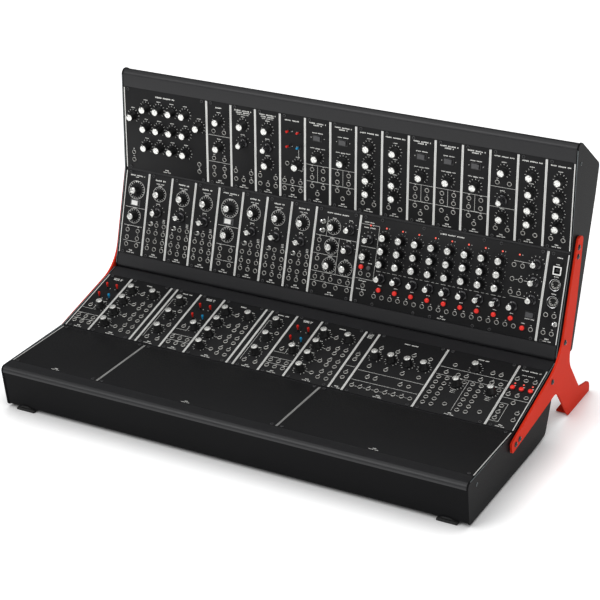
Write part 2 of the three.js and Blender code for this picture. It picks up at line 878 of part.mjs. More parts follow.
const highPassShares = {
  knob: [[0.5, 0.777], [0.5, 0.366]],
  selector: [[0.5, 0.56]],
  jack: [[0.185, 0.214], [0.82, 0.214], ...grid([0.19, 0.5, 0.82], [0.117])],
};

const patchShares = {
  toggle: grid([0.381, 0.787], [0.805, 0.63]),
  knob: [[0.714, 0.412]],
  jack: [[0.295, 0.42], ...grid([0.182, 0.497, 0.82], [0.21, 0.117])],
};

const amplifierShares = {
  rocker: [[0.5, 0.778]],
  knob: [[0.5, 0.553]],
  jack: [...grid([0.288, 0.728], [0.4, 0.304, 0.202]), [0.5, 0.117]],
};

const envelopeShares = {
  knob: grid([0.5], [0.777, 0.591, 0.412, 0.255]),
  jack: grid([0.29, 0.726], [0.117]),
};

const delayShares = {
  knob: grid([0.5], [0.777, 0.249]),
  selector: [[0.5, 0.451]],
  jack: grid([0.29, 0.726], [0.642, 0.117]),
};

const driverShares = {
  knob: grid([0.504], [0.776, 0.465]),
  rocker: [[0.517, 0.623]],
  jack: grid([0.295, 0.738], [0.292, 0.202, 0.117]),
};

const oscillatorShares = {
  knob: [[0.504, 0.774]],
  selector: [[0.5, 0.556]],
  toggle: [[0.283, 0.412]],
  jack: [[0.517, 0.405], [0.837, 0.405], ...grid([0.209, 0.517, 0.837], [0.311, 0.21, 0.117])],
};

const couplerShares = {
  toggle: [[0.194, 0.84], [0.197, 0.739]],
  knob: [...grid([0.422], [0.798, 0.572, 0.358]), [0.787, 0.358]],
  selector: grid([0.8], [0.8, 0.572]),
  jack: [
    ...grid([0.141], [0.623, 0.521, 0.412, 0.311]),
    ...grid([0.141, 0.309, 0.492, 0.703, 0.886], [0.202]),
    ...grid([0.141, 0.38, 0.633, 0.886], [0.117]),
  ],
};

// The sequencer's stages repeat at one even step
const stageCount = 8;
const stageStepShare = 0.0889;
const stageKnobStartShare = 0.144;
const stageLampStartShare = 0.1476;
const stageJackStartShare = 0.123;
const stageJackStepShare = 0.0444;

// Shares of an even run that starts at one place and repeats at one step
function runOfShares(start, step, count) {
  return Array.from({ length: count }, (unused, index) => start + step * index);
}

const stageShares = runOfShares(stageKnobStartShare, stageStepShare, stageCount);
const lampShares = runOfShares(stageLampStartShare, stageStepShare, stageCount + 1);
const bottomRunShares = runOfShares(stageJackStartShare, stageJackStepShare, 2 * stageCount + 4);
const bottomJackShares = bottomRunShares.filter((share, index) => index !== 2 * (stageCount + 1));

const sequencerShares = {
  knob: [...grid(stageShares, [0.79, 0.642, 0.494]), [0.049, 0.545]],
  selector: [...grid(lampShares, [0.327]), [0.058, 0.732], ...grid([0.949], [0.825, 0.63, 0.436])],
  button: [...grid(lampShares, [0.198]), [0.924, 0.117], [0.037, 0.42], [0.079, 0.42]],
  lamp: [...grid(lampShares, [0.895]), [0.06, 0.895]],
  rocker: [[0.953, 0.272]],
  jack: [
    [0.035, 0.342],
    [0.079, 0.342],
    ...grid([0.056], [0.21, 0.117]),
    ...grid(bottomJackShares, [0.117]),
    ...grid([0.8366, 0.8805], [0.778, 0.623, 0.479]),
  ],
};

const midiShares = {
  usb: [[0.525, 0.8]],
  din: grid([0.525], [0.646, 0.459]),
  toggle: [[0.787, 0.226]],
  jack: grid([0.295, 0.689], [0.311, 0.117]),
};

const channelShares = {
  toggle: grid([0.394, 0.812], [0.755, 0.572]),
  knob: [[0.726, 0.424]],
  jack: [[0.295, 0.416], ...grid([0.192, 0.5, 0.812], [0.21, 0.117])],
};

const mixerShares = {
  knob: [...grid([0.236], [0.782, 0.58, 0.37, 0.163]), [0.77, 0.782]],
  jack: [
    ...grid([0.499], [0.778, 0.576, 0.366, 0.16]),
    ...grid([0.675, 0.858], [0.615, 0.529, 0.412, 0.327, 0.21, 0.117]),
  ],
};

const attenuatorShares = {
  knob: grid([0.5], [0.782, 0.525, 0.261]),
  jack: [[0.733, 0.638], [0.733, 0.377], [0.726, 0.117], [0.295, 0.117]],
};

const multipleShares = {
  jack: grid([0.49], [0.6, 0.514, 0.288, 0.202]),
};

const processorShares = {
  knob: grid([0.145, 0.38, 0.614, 0.848], [0.619]),
  jack: [
    ...grid([0.145, 0.384, 0.62, 0.855], [0.776, 0.459]),
    ...grid([0.216, 0.328, 0.684, 0.806], [0.288]),
    ...grid(runOfShares(0.089, 0.118, 8), [0.117]),
  ],
};

const interfaceShares = {
  knob: [[0.492, 0.782], [0.37, 0.486], [0.848, 0.486]],
  jack: [
    ...grid([0.206, 0.731, 0.844], [0.778]),
    ...grid([0.15, 0.319, 0.431, 0.628, 0.787, 0.909], [0.638]),
    ...grid([0.094, 0.211, 0.567, 0.684], [0.545, 0.459, 0.374, 0.288, 0.202, 0.117]),
    [0.45, 0.545],
    [0.928, 0.545],
    [0.375, 0.163],
    [0.853, 0.163],
  ],
};

const switchShares = {
  button: grid([0.197, 0.517, 0.837], [0.623]),
  jack: [
    ...grid([0.172, 0.492, 0.812], [0.778, 0.521]),
    [0.5, 0.405],
    ...grid([0.812], [0.265, 0.156]),
    ...grid([0.185], [0.327, 0.226, 0.132]),
  ],
};

// Rows: the width of each module in pitches, its layout, and which controls move by themselves

const loose = (kind, index, name, look) => ({ kind, index, name, look });
const plain = (pitches, layout = {}) => ({ pitches, layout, moving: [] });
const withMoving = (pitches, layout, ...moving) => ({ pitches, layout, moving });

const topRow = [
  withMoving(bankPitches, filterBankShares, loose('knob', 1, 'filter_bank_knob')),
  plain(unitPitches, noiseShares),
  withMoving(unitPitches, lowPassShares, loose('selector', 0, 'filter_range_selector')),
  plain(unitPitches, highPassShares),
  withMoving(unitPitches, patchShares, loose('toggle', 0, 'patch_switch_red', capRed)),
  withMoving(
    unitPitches,
    amplifierShares,
    loose('knob', 0, 'amplifier_knob'),
    loose('rocker', 0, 'amplifier_mode_rocker', knobBlack),
  ),
  plain(unitPitches, amplifierShares),
  withMoving(unitPitches, envelopeShares, loose('knob', 0, 'envelope_knob')),
  plain(unitPitches, envelopeShares),
  plain(unitPitches, amplifierShares),
  plain(unitPitches, amplifierShares),
  plain(unitPitches, amplifierShares),
  plain(unitPitches, delayShares),
  plain(unitPitches, envelopeShares),
  plain(unitPitches, envelopeShares),
];

const topRowPieces = [
  ['filter_bank_module', 1],
  ['noise_and_filter_modules', 4],
  ['amplifier_and_envelope_modules', 4],
  ['triple_amplifier_modules', 3],
  ['trigger_and_envelope_modules', 3],
];

const voiceRow = [
  withMoving(
    unitPitches,
    driverShares,
    loose('knob', 0, 'driver_tuning_knob'),
    loose('rocker', 0, 'driver_range_rocker', capWhite),
  ),
  withMoving(
    unitPitches,
    oscillatorShares,
    loose('knob', 0, 'oscillator_frequency_knob'),
    loose('selector', 0, 'oscillator_range_selector'),
    loose('toggle', 0, 'oscillator_sync_toggle', leverSilver),
  ),
  plain(unitPitches, oscillatorShares),
  plain(unitPitches, oscillatorShares),
  plain(unitPitches, driverShares),
  plain(unitPitches, oscillatorShares),
  plain(unitPitches, oscillatorShares),
  plain(unitPitches, oscillatorShares),
  withMoving(
    mixerPitches,
    couplerShares,
    loose('knob', 1, 'coupler_knob'),
    loose('selector', 0, 'coupler_selector'),
  ),
  withMoving(
    longPitches,
    sequencerShares,
    loose('knob', 0, 'sequencer_stage_knob'),
    loose('selector', 0, 'sequencer_stage_selector'),
    loose('button', 0, 'sequencer_stage_button'),
  ),
  plain(plugPitches, midiShares),
];

const voiceRowPieces = [
  ['oscillator_bank_left', 4],
  ['oscillator_bank_right', 4],
  ['coupler_module', 1],
  ['sequencer_module', 1],
  ['midi_module', 1],
];

const mixerRow = [
  plain(unitPitches, channelShares),
  withMoving(mixerPitches, mixerShares, loose('knob', 4, 'mixer_level_knob')),
  plain(slimPitches),
  withMoving(unitPitches, attenuatorShares, loose('knob', 0, 'attenuator_knob')),
  withMoving(unitPitches, channelShares, loose('toggle', 3, 'channel_switch_blue', capBlue)),
  plain(mixerPitches, mixerShares),
  plain(slimPitches),
  plain(unitPitches, attenuatorShares),
  plain(unitPitches, channelShares),
  plain(mixerPitches, mixerShares),
  plain(multiplePitches, multipleShares),
  withMoving(utilityPitches, processorShares, loose('knob', 0, 'processor_knob')),
  plain(utilityPitches, interfaceShares),
  withMoving(unitPitches, switchShares, loose('button', 0, 'sequential_switch_button')),
];

const mixerRowPieces = [
  ['mixer_section_left', 4],
  ['mixer_section_middle', 4],
  ['mixer_section_right', 3],
  ['processor_module', 1],
  ['interface_module', 1],
  ['sequential_switch_module', 1],
];

const blankRow = [plain(bankPitches), plain(longPitches), plain(longPitches)];

const blankRowPieces = [
  ['blank_panel_left', 1],
  ['blank_panel_middle', 1],
  ['blank_panel_right', 1],
];

// Modules

// Copies of a solid's geometry moved to a place on the panel
function movedTo(solid, x, y) {
  const result = solid.getMesh();
  const geometry = new THREE.BufferGeometry();
  geometry.setAttribute('position', new THREE.BufferAttribute(result.vertProperties.slice(), 3));
  geometry.setIndex(new THREE.BufferAttribute(result.triVerts.slice(), 1));
  geometry.translate(x, y, 0);
  return solidOf(geometry);
}

// One control of a module that is fused, drilled or left loose
function fitControl(body, kind, x, y, mark) {
  const { fused, hole } = kinds[kind];
  if (mark) {
    const { add, cut } = kinds[kind].loose(mark.look);
    const padded = add ? body.add(movedTo(add, x, y)) : body;
    return padded.subtract(movedTo(cut, x, y));
  }
  const raised = fused ? body.add(movedTo(fused(), x, y)) : body;
  return hole ? raised.subtract(movedTo(hole(), x, y)) : raised;
}

// A loose control as its own mesh, hung at its pivot on the row
function looseMesh(kind, mark, x, y) {
  const made = kinds[kind].loose(mark.look);
  const pivotHeight = made.pivotHeight ?? 0;
  const mesh = meshOf(made.solid, mark.name, made.look);
  mesh.geometry.translate(0, 0, -pivotHeight);
  mesh.position.set(x, y, pivotHeight);
  mesh.rotation.x = THREE.MathUtils.degToRad(made.lean ?? 0);
  mesh.rotation.y = THREE.MathUtils.degToRad(made.leanAcross ?? 0);
  return mesh;
}

// Adds one row's modules and loose controls to a group in the row's frame
function addRow(rowGroup, modules, pieces) {
  let index = 0;
  let left = 0;
  const blockBottom = shelfWidth + blockClearance;
  const blockTop = panelHeight + bendHalfGap - middleRailHalfWidth - blockClearance;
  for (const [name, count] of pieces) {
    const members = modules.slice(index, index + count);
    const width = members.reduce((total, member) => total + member.pitches * pitch, 0);
    const x0 = left + moduleGap / 2;
    const x1 = left + width - moduleGap / 2;
    const back = -panelThickness - blockDepth;
    let body = box(x0, x1, 0, panelHeight, -panelThickness, 0);
    const blockStart = x0 + blockSideInset;
    const blockEnd = x1 - blockSideInset;
    body = body.add(box(blockStart, blockEnd, blockBottom, blockTop, back, -panelThickness / 2));
    for (const [memberIndex, member] of members.entries()) {
      const memberWidth = member.pitches * pitch;
      if (memberIndex > 0) {
        const grooveStart = left - moduleGap / 2;
        const grooveEnd = left + moduleGap / 2;
        body = body.subtract(box(grooveStart, grooveEnd, -overrun, panelHeight + overrun, -moduleGrooveDepth, overrun));
      }
      for (const [kind, places] of Object.entries(member.layout)) {
        for (const [placeIndex, [xShare, yShare]] of places.entries()) {
          const x = left + xShare * memberWidth;
          const y = yShare * panelHeight;
          const mark = member.moving.find((entry) => entry.kind === kind && entry.index === placeIndex);
          body = fitControl(body, kind, x, y, mark);
          if (mark) {
            rowGroup.add(looseMesh(kind, mark, x, y));
          }
        }
      }
      left += memberWidth;
    }
    rowGroup.add(meshOf(body, name, matteBlack));
    index += count;
  }
}

// Assembly

// Group whose frame is a row's: x from its left end, y up the panels, z out of them
function rowFrame(reach, rotation) {
  const group = new THREE.Group();
  group.position.set(-halfRow, reach * Math.cos(rotation), reach * Math.sin(rotation));
  group.rotation.x = rotation;
  return group;
}

// One case with its cheeks, rails, tray, power board and two rows of modules
function makeCase(prefix, frontRow, frontPieces, rearRow, rearPieces) {
  const group = new THREE.Group();
  group.add(meshOf(tray(), `${prefix}_case_tray`, powderBlack));
  group.add(meshOf(cheek(-1), `${prefix}_left_cheek`, powderBlack));
  group.add(meshOf(cheek(1), `${prefix}_right_cheek`, powderBlack));
  group.add(meshOf(edgeRail(onFrontRow, frontBore), `${prefix}_front_rail`, powderBlack));
  group.add(meshOf(middleRail(), `${prefix}_middle_rail`, powderBlack));
  group.add(meshOf(edgeRail(onRearRow, rearBore), `${prefix}_rear_rail`, powderBlack));
  group.add(meshOf(powerBoard(), `${prefix}_power_board`, boardGreen));
  const front = rowFrame(-panelEdge, 0);
  addRow(front, frontRow, frontPieces);
  const rear = rowFrame(bendHalfGap, tilt);
  addRow(rear, rearRow, rearPieces);
  group.add(front, rear);
  return group;
}

const synthesizer = new THREE.Group();

const lowerCase = makeCase('lower', blankRow, blankRowPieces, mixerRow, mixerRowPieces);
synthesizer.add(lowerCase);

const upperCase = makeCase('upper', voiceRow, voiceRowPieces, topRow, topRowPieces);
upperCase.rotation.x = turn;
upperCase.position.set(0, upperBend().x, upperBend().y);
synthesizer.add(upperCase);

synthesizer.add(meshOf(bracket(-1), 'left_bracket', brightRed));
synthesizer.add(meshOf(bracket(1), 'right_bracket', brightRed));
synthesizer.add(meshOf(frontFoot(-1), 'front_left_foot', rubberBlack));
synthesizer.add(meshOf(frontFoot(1), 'front_right_foot', rubberBlack));
synthesizer.add(meshOf(rearFoot(-1), 'rear_left_foot', rubberBlack));
synthesizer.add(meshOf(rearFoot(1), 'rear_right_foot', rubberBlack));

// Stand the whole object on the floor, centred over the origin
const bounds = new THREE.Box3().setFromObject(synthesizer);
const middle = bounds.getCenter(new THREE.Vector3());
synthesizer.position.set(-middle.x, -middle.y, -bounds.min.z);

export default synthesizer;
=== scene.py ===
"""Dresses a four-row modular synthesizer around its CAD frame.

Two angled cases are held together by red side brackets. Every row has its own frame: x from
the row's left end, v up the panels and height out of the panels, all in metres.
"""

import functools
import math
import random
from collections import namedtuple

import bmesh
import bpy
from bpy.props import FloatProperty, FloatVectorProperty, PointerProperty
from mathutils import Matrix, Vector


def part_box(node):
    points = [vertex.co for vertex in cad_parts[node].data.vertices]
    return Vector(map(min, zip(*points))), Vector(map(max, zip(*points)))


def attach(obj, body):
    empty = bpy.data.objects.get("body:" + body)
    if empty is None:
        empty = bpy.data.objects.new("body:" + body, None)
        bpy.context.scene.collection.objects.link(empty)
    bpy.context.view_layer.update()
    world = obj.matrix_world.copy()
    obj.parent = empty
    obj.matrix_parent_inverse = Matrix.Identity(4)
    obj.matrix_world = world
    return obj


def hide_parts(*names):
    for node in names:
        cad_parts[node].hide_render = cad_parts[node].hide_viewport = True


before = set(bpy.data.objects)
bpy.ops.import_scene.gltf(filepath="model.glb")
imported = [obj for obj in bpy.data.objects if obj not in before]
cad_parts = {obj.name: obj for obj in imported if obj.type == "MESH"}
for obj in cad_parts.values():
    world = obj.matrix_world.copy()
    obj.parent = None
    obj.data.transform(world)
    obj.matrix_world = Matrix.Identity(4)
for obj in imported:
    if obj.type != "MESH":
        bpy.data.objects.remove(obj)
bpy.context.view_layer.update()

bl_info = {
    "name": "Modular synthesizer",
    "version": (1, 0, 0),
    "blender": (4, 5, 0),
    "location": "View3D > Sidebar > Synthesizer",
    "description": "Dresses a four-row modular synthesizer around its CAD frame",
    "category": "Add Mesh",
}

MM = 0.001
STATIC = "case_stack"

# The module standard that the rows are cut for
PITCH = 5.08 * MM
UNIT = 8
SLIM = UNIT // 4
MULTIPLE = UNIT // 2
PLUG = UNIT - SLIM
MIXER = 2 * UNIT - SLIM
UTILITY = 3 * MIXER // 2
BANK = 2 * MIXER
LONG = 2 * BANK
ROW_PITCHES = BANK + 2 * LONG
PANEL_HEIGHT = 128.5 * MM
PANEL_THICKNESS = 2 * MM
HALF_ROW = ROW_PITCHES * PITCH / 2
PANEL_ROUNDING = 0.25 * MM
BEND_HALF_GAP = 1.5 * MM
PANEL_EDGE = BEND_HALF_GAP + PANEL_HEIGHT
ROW_TILT = math.radians(15)
CASE_TURN = math.radians(75)

# The bends where a front row meets a rear row, seen from the side as (y, z), and the way from
# the lower to the upper one
BEND_TO_BEND = Vector((186.43, 185.85)) * MM
blank_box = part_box("blank_panel_left")
LOWER_BEND = Vector((blank_box[1][1] + BEND_HALF_GAP, blank_box[1][2]))
UPPER_BEND = LOWER_BEND + BEND_TO_BEND


# Colours and sizes that a user would change


def linear(hex_colour):
    """Turns an sRGB hex colour into Blender's linear one."""
    values = [int(hex_colour[at : at + 2], 16) / 255 for at in (1, 3, 5)]
    curve = [v / 12.92 if v <= 0.04045 else ((v + 0.055) / 1.055) ** 2.4 for v in values]
    return (*curve, 1.0)


def colour(name, description, hex_colour):
    """A colour setting that a user can change."""
    return FloatVectorProperty(
        name=name,
        description=description,
        subtype="COLOR",
        size=4,
        min=0,
        max=1,
        default=linear(hex_colour),
    )


def length(name, description, millimetres):
    """A length setting that a user can change."""
    return FloatProperty(
        name=name, description=description, unit="LENGTH", default=millimetres * MM, precision=5
    )


class SynthesizerColours(bpy.types.PropertyGroup):
    """Colours of the finishes."""

    powder_coat: colour("Powder coat", "Case sheet and cheeks", "#151516")
    # A shade lighter than the powder coat, partly as painted light for the brighter lips
    rail_coat: colour("Rail coat", "Lips and rails", "#1c1c1e")
    panel_paint: colour("Panel paint", "Front panels", "#1b1b1c")
    print_ink: colour("Printed marks", "Lines, ticks and legends on the panels", "#dcdcd8")
    edge_metal: colour("Panel edges", "Bare metal edges of the panels", "#dededb")
    bracket_paint: colour("Bracket paint", "Side brackets", "#d6321d")
    knob_plastic: colour("Knob plastic", "Knobs, selectors and bezels", "#0d0d0e")
    spun_cap: colour("Spun caps", "Aluminium caps on the knobs", "#e4e4e0")
    jack_nickel: colour("Socket nickel", "Rings round the patch sockets", "#d0cfca")
    cap_red: colour("Red plastic", "Red switch caps", "#d5241a")
    button_red: colour("Button acrylic", "Push buttons", "#ee2a1e")
    cap_blue: colour("Blue plastic", "Blue switch caps", "#158ec0")
    cap_white: colour("White plastic", "Rockers and socket surrounds", "#ededea")
    rocker_grey: colour("Grey plastic", "Dark rockers and the drivers' bezels", "#464648")
    lamp_glow: colour("Lamp glow", "Lit lamps", "#ff6654")
    rubber: colour("Foot rubber", "Feet", "#151515")
    board: colour("Circuit board", "Power boards inside the cases", "#1d5636")


class CaseSizes(bpy.types.PropertyGroup):
    """Sizes of the cases, seen from the side."""

    lip: length("Lip width", "Bare lip in front of the first row and behind the last", 25.2)
    depth: length("Case depth", "From the front row down to the bottom", 65)
    lean: length("Front lean", "How far the front wall leans back at the bottom", 10.5)
    seam: length("Seam depth", "Where the lip ends and the wall begins", 9)
    recess: length("Wall recess", "How far the walls sit back from the lip", 1)
    cheek: length("Cheek thickness", "Thickness of an end cheek", 2.5)
    cheek_edge: length("Cheek edge", "Rounding of a cheek's outer edge", 2.2)
    clearance: length("Clearance", "Gap between neighbouring pieces", 0.3)


class BracketSizes(bpy.types.PropertyGroup):
    """Sizes of the folded side brackets."""

    thickness: length("Thickness", "Sheet thickness", 3)
    standoff: length("Standoff", "Gap between the cheek and the bracket", 1.3)
    flange: length("Flange width", "Part folded in along the floor", 17)
    edge: length("Edge rounding", "Softened edge under the paint", 0.4)
    screw: length("Screw radius", "Button head radius", 4)


class ControlSizes(bpy.types.PropertyGroup):
    """Sizes of the panel controls."""

    knob: length("Knob radius", "Radius of a knob's skirt", 6.5)
    knob_height: length("Knob height", "Top of a knob's cap over the panel", 12.7)
    knob_cap: length("Knob cap radius", "Radius of a knob's aluminium cap", 4.7)
    selector: length("Selector radius", "Radius of a selector's disc", 7.75)
    selector_height: length("Selector height", "Top of a selector's cap over the panel", 16.7)
    selector_cap: length("Selector cap radius", "Radius of a selector's aluminium cap", 3.8)
    jack: length("Socket radius", "Outside radius of a socket's ring", 3.4)
    washer: length("Washer radius", "Outside radius of a socket's black washer", 4.4)
    toggle_height: length("Toggle height", "Top of a switch lever over the panel", 10)
    button: length("Button radius", "Radius of a push button", 3.4)
    lamp: length("Lamp radius", "Radius of a lamp", 1.3)
    edge_strip: length("Edge strip", "Bare metal strip along each side of a panel", 1.4)


class PrintSizes(bpy.types.PropertyGroup):
    """Sizes of the printed marks."""

    line: length("Line width", "Width of a printed line", 0.45)
    tick: length("Tick length", "Length of a dial tick", 2)
    letter: length("Letter height", "Height of a small legend", 1.7)
    ink: length("Ink height", "How far the ink stands over the paint", 0.03)


def colours():
    return bpy.context.scene.synthesizer_colours


def case_sizes():
    return bpy.context.scene.synthesizer_case


def bracket_sizes():
    return bpy.context.scene.synthesizer_bracket


def control_sizes():
    return bpy.context.scene.synthesizer_controls


def print_sizes():
    return bpy.context.scene.synthesizer_print


# Side view shapes, as lists of (y, z)


def side(y, z):
    """A side view point."""
    return Vector((y, z))


def turned(point, angle):
    """A side view point turned about the bend."""
    return Matrix.Rotation(angle, 2) @ point


def on_front_row(reach, height):
    """A side view point so far along the front row and so high over it."""
    return side(-reach, height)


def on_rear_row(reach, height):
    """A side view point so far along the rear row and so high over it."""
    return turned(side(reach, height), ROW_TILT)


def rounded(corners, steps=10):
    """An outline whose corners are rounded, each given as (point, radius)."""
    outline = []
    for index, (at, radius) in enumerate(corners):
        if radius == 0:
            outline.append(at.copy())
            continue
        before = (corners[index - 1][0] - at).normalized()
        after = (corners[(index + 1) % len(corners)][0] - at).normalized()
        half = before.angle(after) / 2
        centre = at + (before + after).normalized() * (radius / math.sin(half))
        start = at + before * (radius / math.tan(half)) - centre
        sweep = math.copysign(math.pi - 2 * half, after.x * before.y - after.y * before.x)
        outline += [centre + turned(start, sweep * step / steps) for step in range(steps + 1)]
    return outline


def inset(outline, distance):
    """The outline moved inwards; it runs either way round."""
    area = sum(a.x * b.y - b.x * a.y for a, b in zip(outline, outline[1:] + outline[:1]))
    quarter = math.copysign(math.pi / 2, area)
    moved = []
    for index, point in enumerate(outline):
        normal_in = turned((point - outline[index - 1]).normalized(), quarter)
        normal_out = turned((outline[(index + 1) % len(outline)] - point).normalized(), quarter)
        middle = (normal_in + normal_out).normalized()
        moved.append(point + middle * (distance / middle.dot(normal_in)))
    return moved


def pressed(outline, depth):
    """The outline with nothing left higher than a depth under its rows."""
    low = []
    for point in outline:
        angle = 0 if point.x < 0 else ROW_TILT
        under_row = turned(point, -angle)
        low.append(turned(side(under_row.x, min(under_row.y, -depth)), angle))
    return low


def clipped(outline, at, outward):
    """The part of an outline behind the line through a point, away from its outward side."""
    kept = []
    for index, point in enumerate(outline):
        before = outline[index - 1]
        here, there = (point - at).dot(outward), (before - at).dot(outward)
        if here * there < 0:
            kept.append(before.lerp(point, there / (there - here)))
        if here <= 0:
            kept.append(point.copy())
    return kept


# A case's bottom is flat up to here, then rises to a foot and to a swell under the rear lip
BOTTOM_END = 75 * MM
REAR_FOOT = (121 * MM, 3 * MM)
REAR_SWELL = (0.8 * MM, -13 * MM)
# The front corner is held back by this, because its fine rounding reaches past the CAD's
HELD_BACK = 0.11 * MM


def case_outline(rear_corner):
    """Outline of one case about its bend, as the CAD cheeks have it."""
    sizes = case_sizes()
    reach = PANEL_EDGE + sizes.lip
    return rounded([
        (on_front_row(reach - HELD_BACK, 0), 7 * MM),
        (side(sizes.lean - reach, -sizes.depth), 5 * MM),
        (side(BOTTOM_END, -sizes.depth), 0),
        (side(REAR_FOOT[0], REAR_FOOT[1] - sizes.depth), 10 * MM),
        (on_rear_row(reach + REAR_SWELL[0], REAR_SWELL[1]), 12 * MM),
        (on_rear_row(reach, 0), rear_corner),
        (side(0, 0), 0),
    ])


def placed(outline, bend, angle):
    """A case's side view put where the case stands."""
    return [turned(point, angle) + bend for point in outline]


# Each case as (bend, turn, radius of its rear corner)
# The lower corner is fuller than the CAD's, so that no floor shows between the cases
CASES = {"lower": (LOWER_BEND, 0.0, 6.6 * MM), "upper": (UPPER_BEND, CASE_TURN, 8 * MM)}


# Mesh helpers


def new_object(name, mesh):
    """An object of a mesh, lamp or lens, linked to the scene."""
    obj = bpy.data.objects.new(name, mesh)
    bpy.context.collection.objects.link(obj)
    return obj


def smooth(mesh, angle=35):
    """Shades a mesh smooth, with sharp edges where its faces meet at more than the angle."""
    mesh.polygons.foreach_set("use_smooth", [True] * len(mesh.polygons))
    mesh.set_sharp_from_angle(angle=math.radians(angle))


def mesh_from(name, work, angle=35):
    """Turns a bmesh into a shaded mesh."""
    bmesh.ops.remove_doubles(work, verts=work.verts, dist=MM / 1000)
    bmesh.ops.recalc_face_normals(work, faces=work.faces)
    mesh = bpy.data.meshes.new(name)
    work.to_mesh(mesh)
    work.free()
    smooth(mesh, angle)
    return mesh


def slab(work, outline, x0, x1):
    """Adds a side view outline drawn out from one x to another; returns the rim at x1."""
    near = [work.verts.new((x0, point.x, point.y)) for point in outline]
    far = [work.verts.new((x1, point.x, point.y)) for point in outline]
    work.faces.new(near)
    work.faces.new(far)
    count = len(outline)
    for index in range(count):
        after = (index + 1) % count
        work.faces.new((near[index], near[after], far[after], far[index]))
    return far


def rim_edges(rim):
    """The edges between neighbouring points of a rim."""
    members = set(rim)
    return {edge for vert in rim for edge in vert.link_edges if edge.other_vert(vert) in members}


def round_edges(work, edges, radius, segments):
    """Rounds some edges and returns what that made."""
    shape = {"offset": radius, "segments": segments, "profile": 0.5, "affect": "EDGES"}
    return bmesh.ops.bevel(work, geom=list(edges), **shape)


def block(work, low, high, matrix=None, radius=0.0):
    """Adds a box between two corners, with rounded edges where a radius is given."""
    middle = (Vector(low) + Vector(high)) / 2
    spread = Vector(high) - Vector(low)
    made = bmesh.ops.create_cube(work, size=1)
    bmesh.ops.scale(work, vec=spread, verts=made["verts"])
    bmesh.ops.translate(work, vec=middle, verts=made["verts"])
    verts = made["verts"]
    if radius:
        edges = {edge for vert in verts for edge in vert.link_edges}
        result = round_edges(work, edges, radius, 2)
        bevelled = {vert for face in result["faces"] for vert in face.verts}
        verts = list(bevelled | {vert for vert in verts if vert.is_valid})
    if matrix:
        bmesh.ops.transform(work, matrix=matrix, verts=verts)


def lathe(name, profile, sides, closed=False):
    """A turned template. Its profile of (radius, height) in millimetres ends on the axis, or is a loop.

    A third number in a profile point waves that ring up and down three times round.
    """
    work = bmesh.new()
    rings = []
    for radius, height, *wave in profile:
        if radius == 0:
            rings.append([work.verts.new((0, 0, height * MM))])
            continue
        ring = []
        for step in range(sides):
            angle = 2 * math.pi * step / sides
            level = height + (wave[0] * math.cos(3 * angle) if wave else 0)
            at = Vector((radius * math.cos(angle), radius * math.sin(angle), level))
            ring.append(work.verts.new(at * MM))
        rings.append(ring)
    pairs = list(zip(rings, rings[1:]))
    if closed:
        pairs.append((rings[-1], rings[0]))
    for low, high in pairs:
        for step in range(sides):
            after = (step + 1) % sides
            under = [low[step % len(low)], low[after % len(low)]]
            over = [high[after % len(high)], high[step % len(high)]]
            work.faces.new(list(dict.fromkeys(under + over)))
    return new_object(name, mesh_from(name, work, 40))


def block_template(name, low, high, radius=0.0):
    """A box template in millimetres."""
    work = bmesh.new()
    block(work, Vector(low) * MM, Vector(high) * MM, radius=radius * MM)
    return new_object(name, mesh_from(name, work, 40))


def border(name, half_x, half_y, wall, height):
    """A flat rectangular frame template in millimetres; the wall is the one at its left and right."""
    work = bmesh.new()
    x, y = half_x - wall, half_y - min(wall, 1.6)
    bars = [((-half_x, -half_y), (half_x, -y)), ((-half_x, y), (half_x, half_y))]
    bars += [((-half_x, -y), (-x, y)), ((x, -y), (half_x, y))]
    for low, high in bars:
        block(work, Vector((*low, 0.02)) * MM, Vector((*high, height)) * MM)
    return new_object(name, mesh_from(name, work, 40))


def join(name, parts):
    """Joins mesh objects into one piece with the materials of all."""
    first = parts[0]
    if len(parts) > 1:
        chosen = {"active_object": first, "object": first, "selected_editable_objects": parts}
        with bpy.context.temp_override(**chosen):
            bpy.ops.object.join()
    first.name = name
    first.data.name = name
    return first


def dress(piece, body, slot_name, *nodes):
    """Puts a finished piece on its body and hides the CAD nodes that it stands for."""
    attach(piece, body)
    if nodes:
        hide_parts(*nodes)
    return piece


# Materials


def add_node(tree, kind, settings=None, inputs=None):
    """Adds a node; inputs maps a socket to a value or to the output that feeds it."""
    node = tree.nodes.new(kind)
    for name, value in (settings or {}).items():
        setattr(node, name, value)
    for name, value in (inputs or {}).items():
        if isinstance(value, bpy.types.NodeSocket):
            tree.links.new(value, node.inputs[name])
        else:
            node.inputs[name].default_value = value
    return node


# Size of the broad uneven patches in a finish, and how a sawn edge draws its grain out
PATCH = 60 * MM
SAWN = (1, 0.08, 0.08)


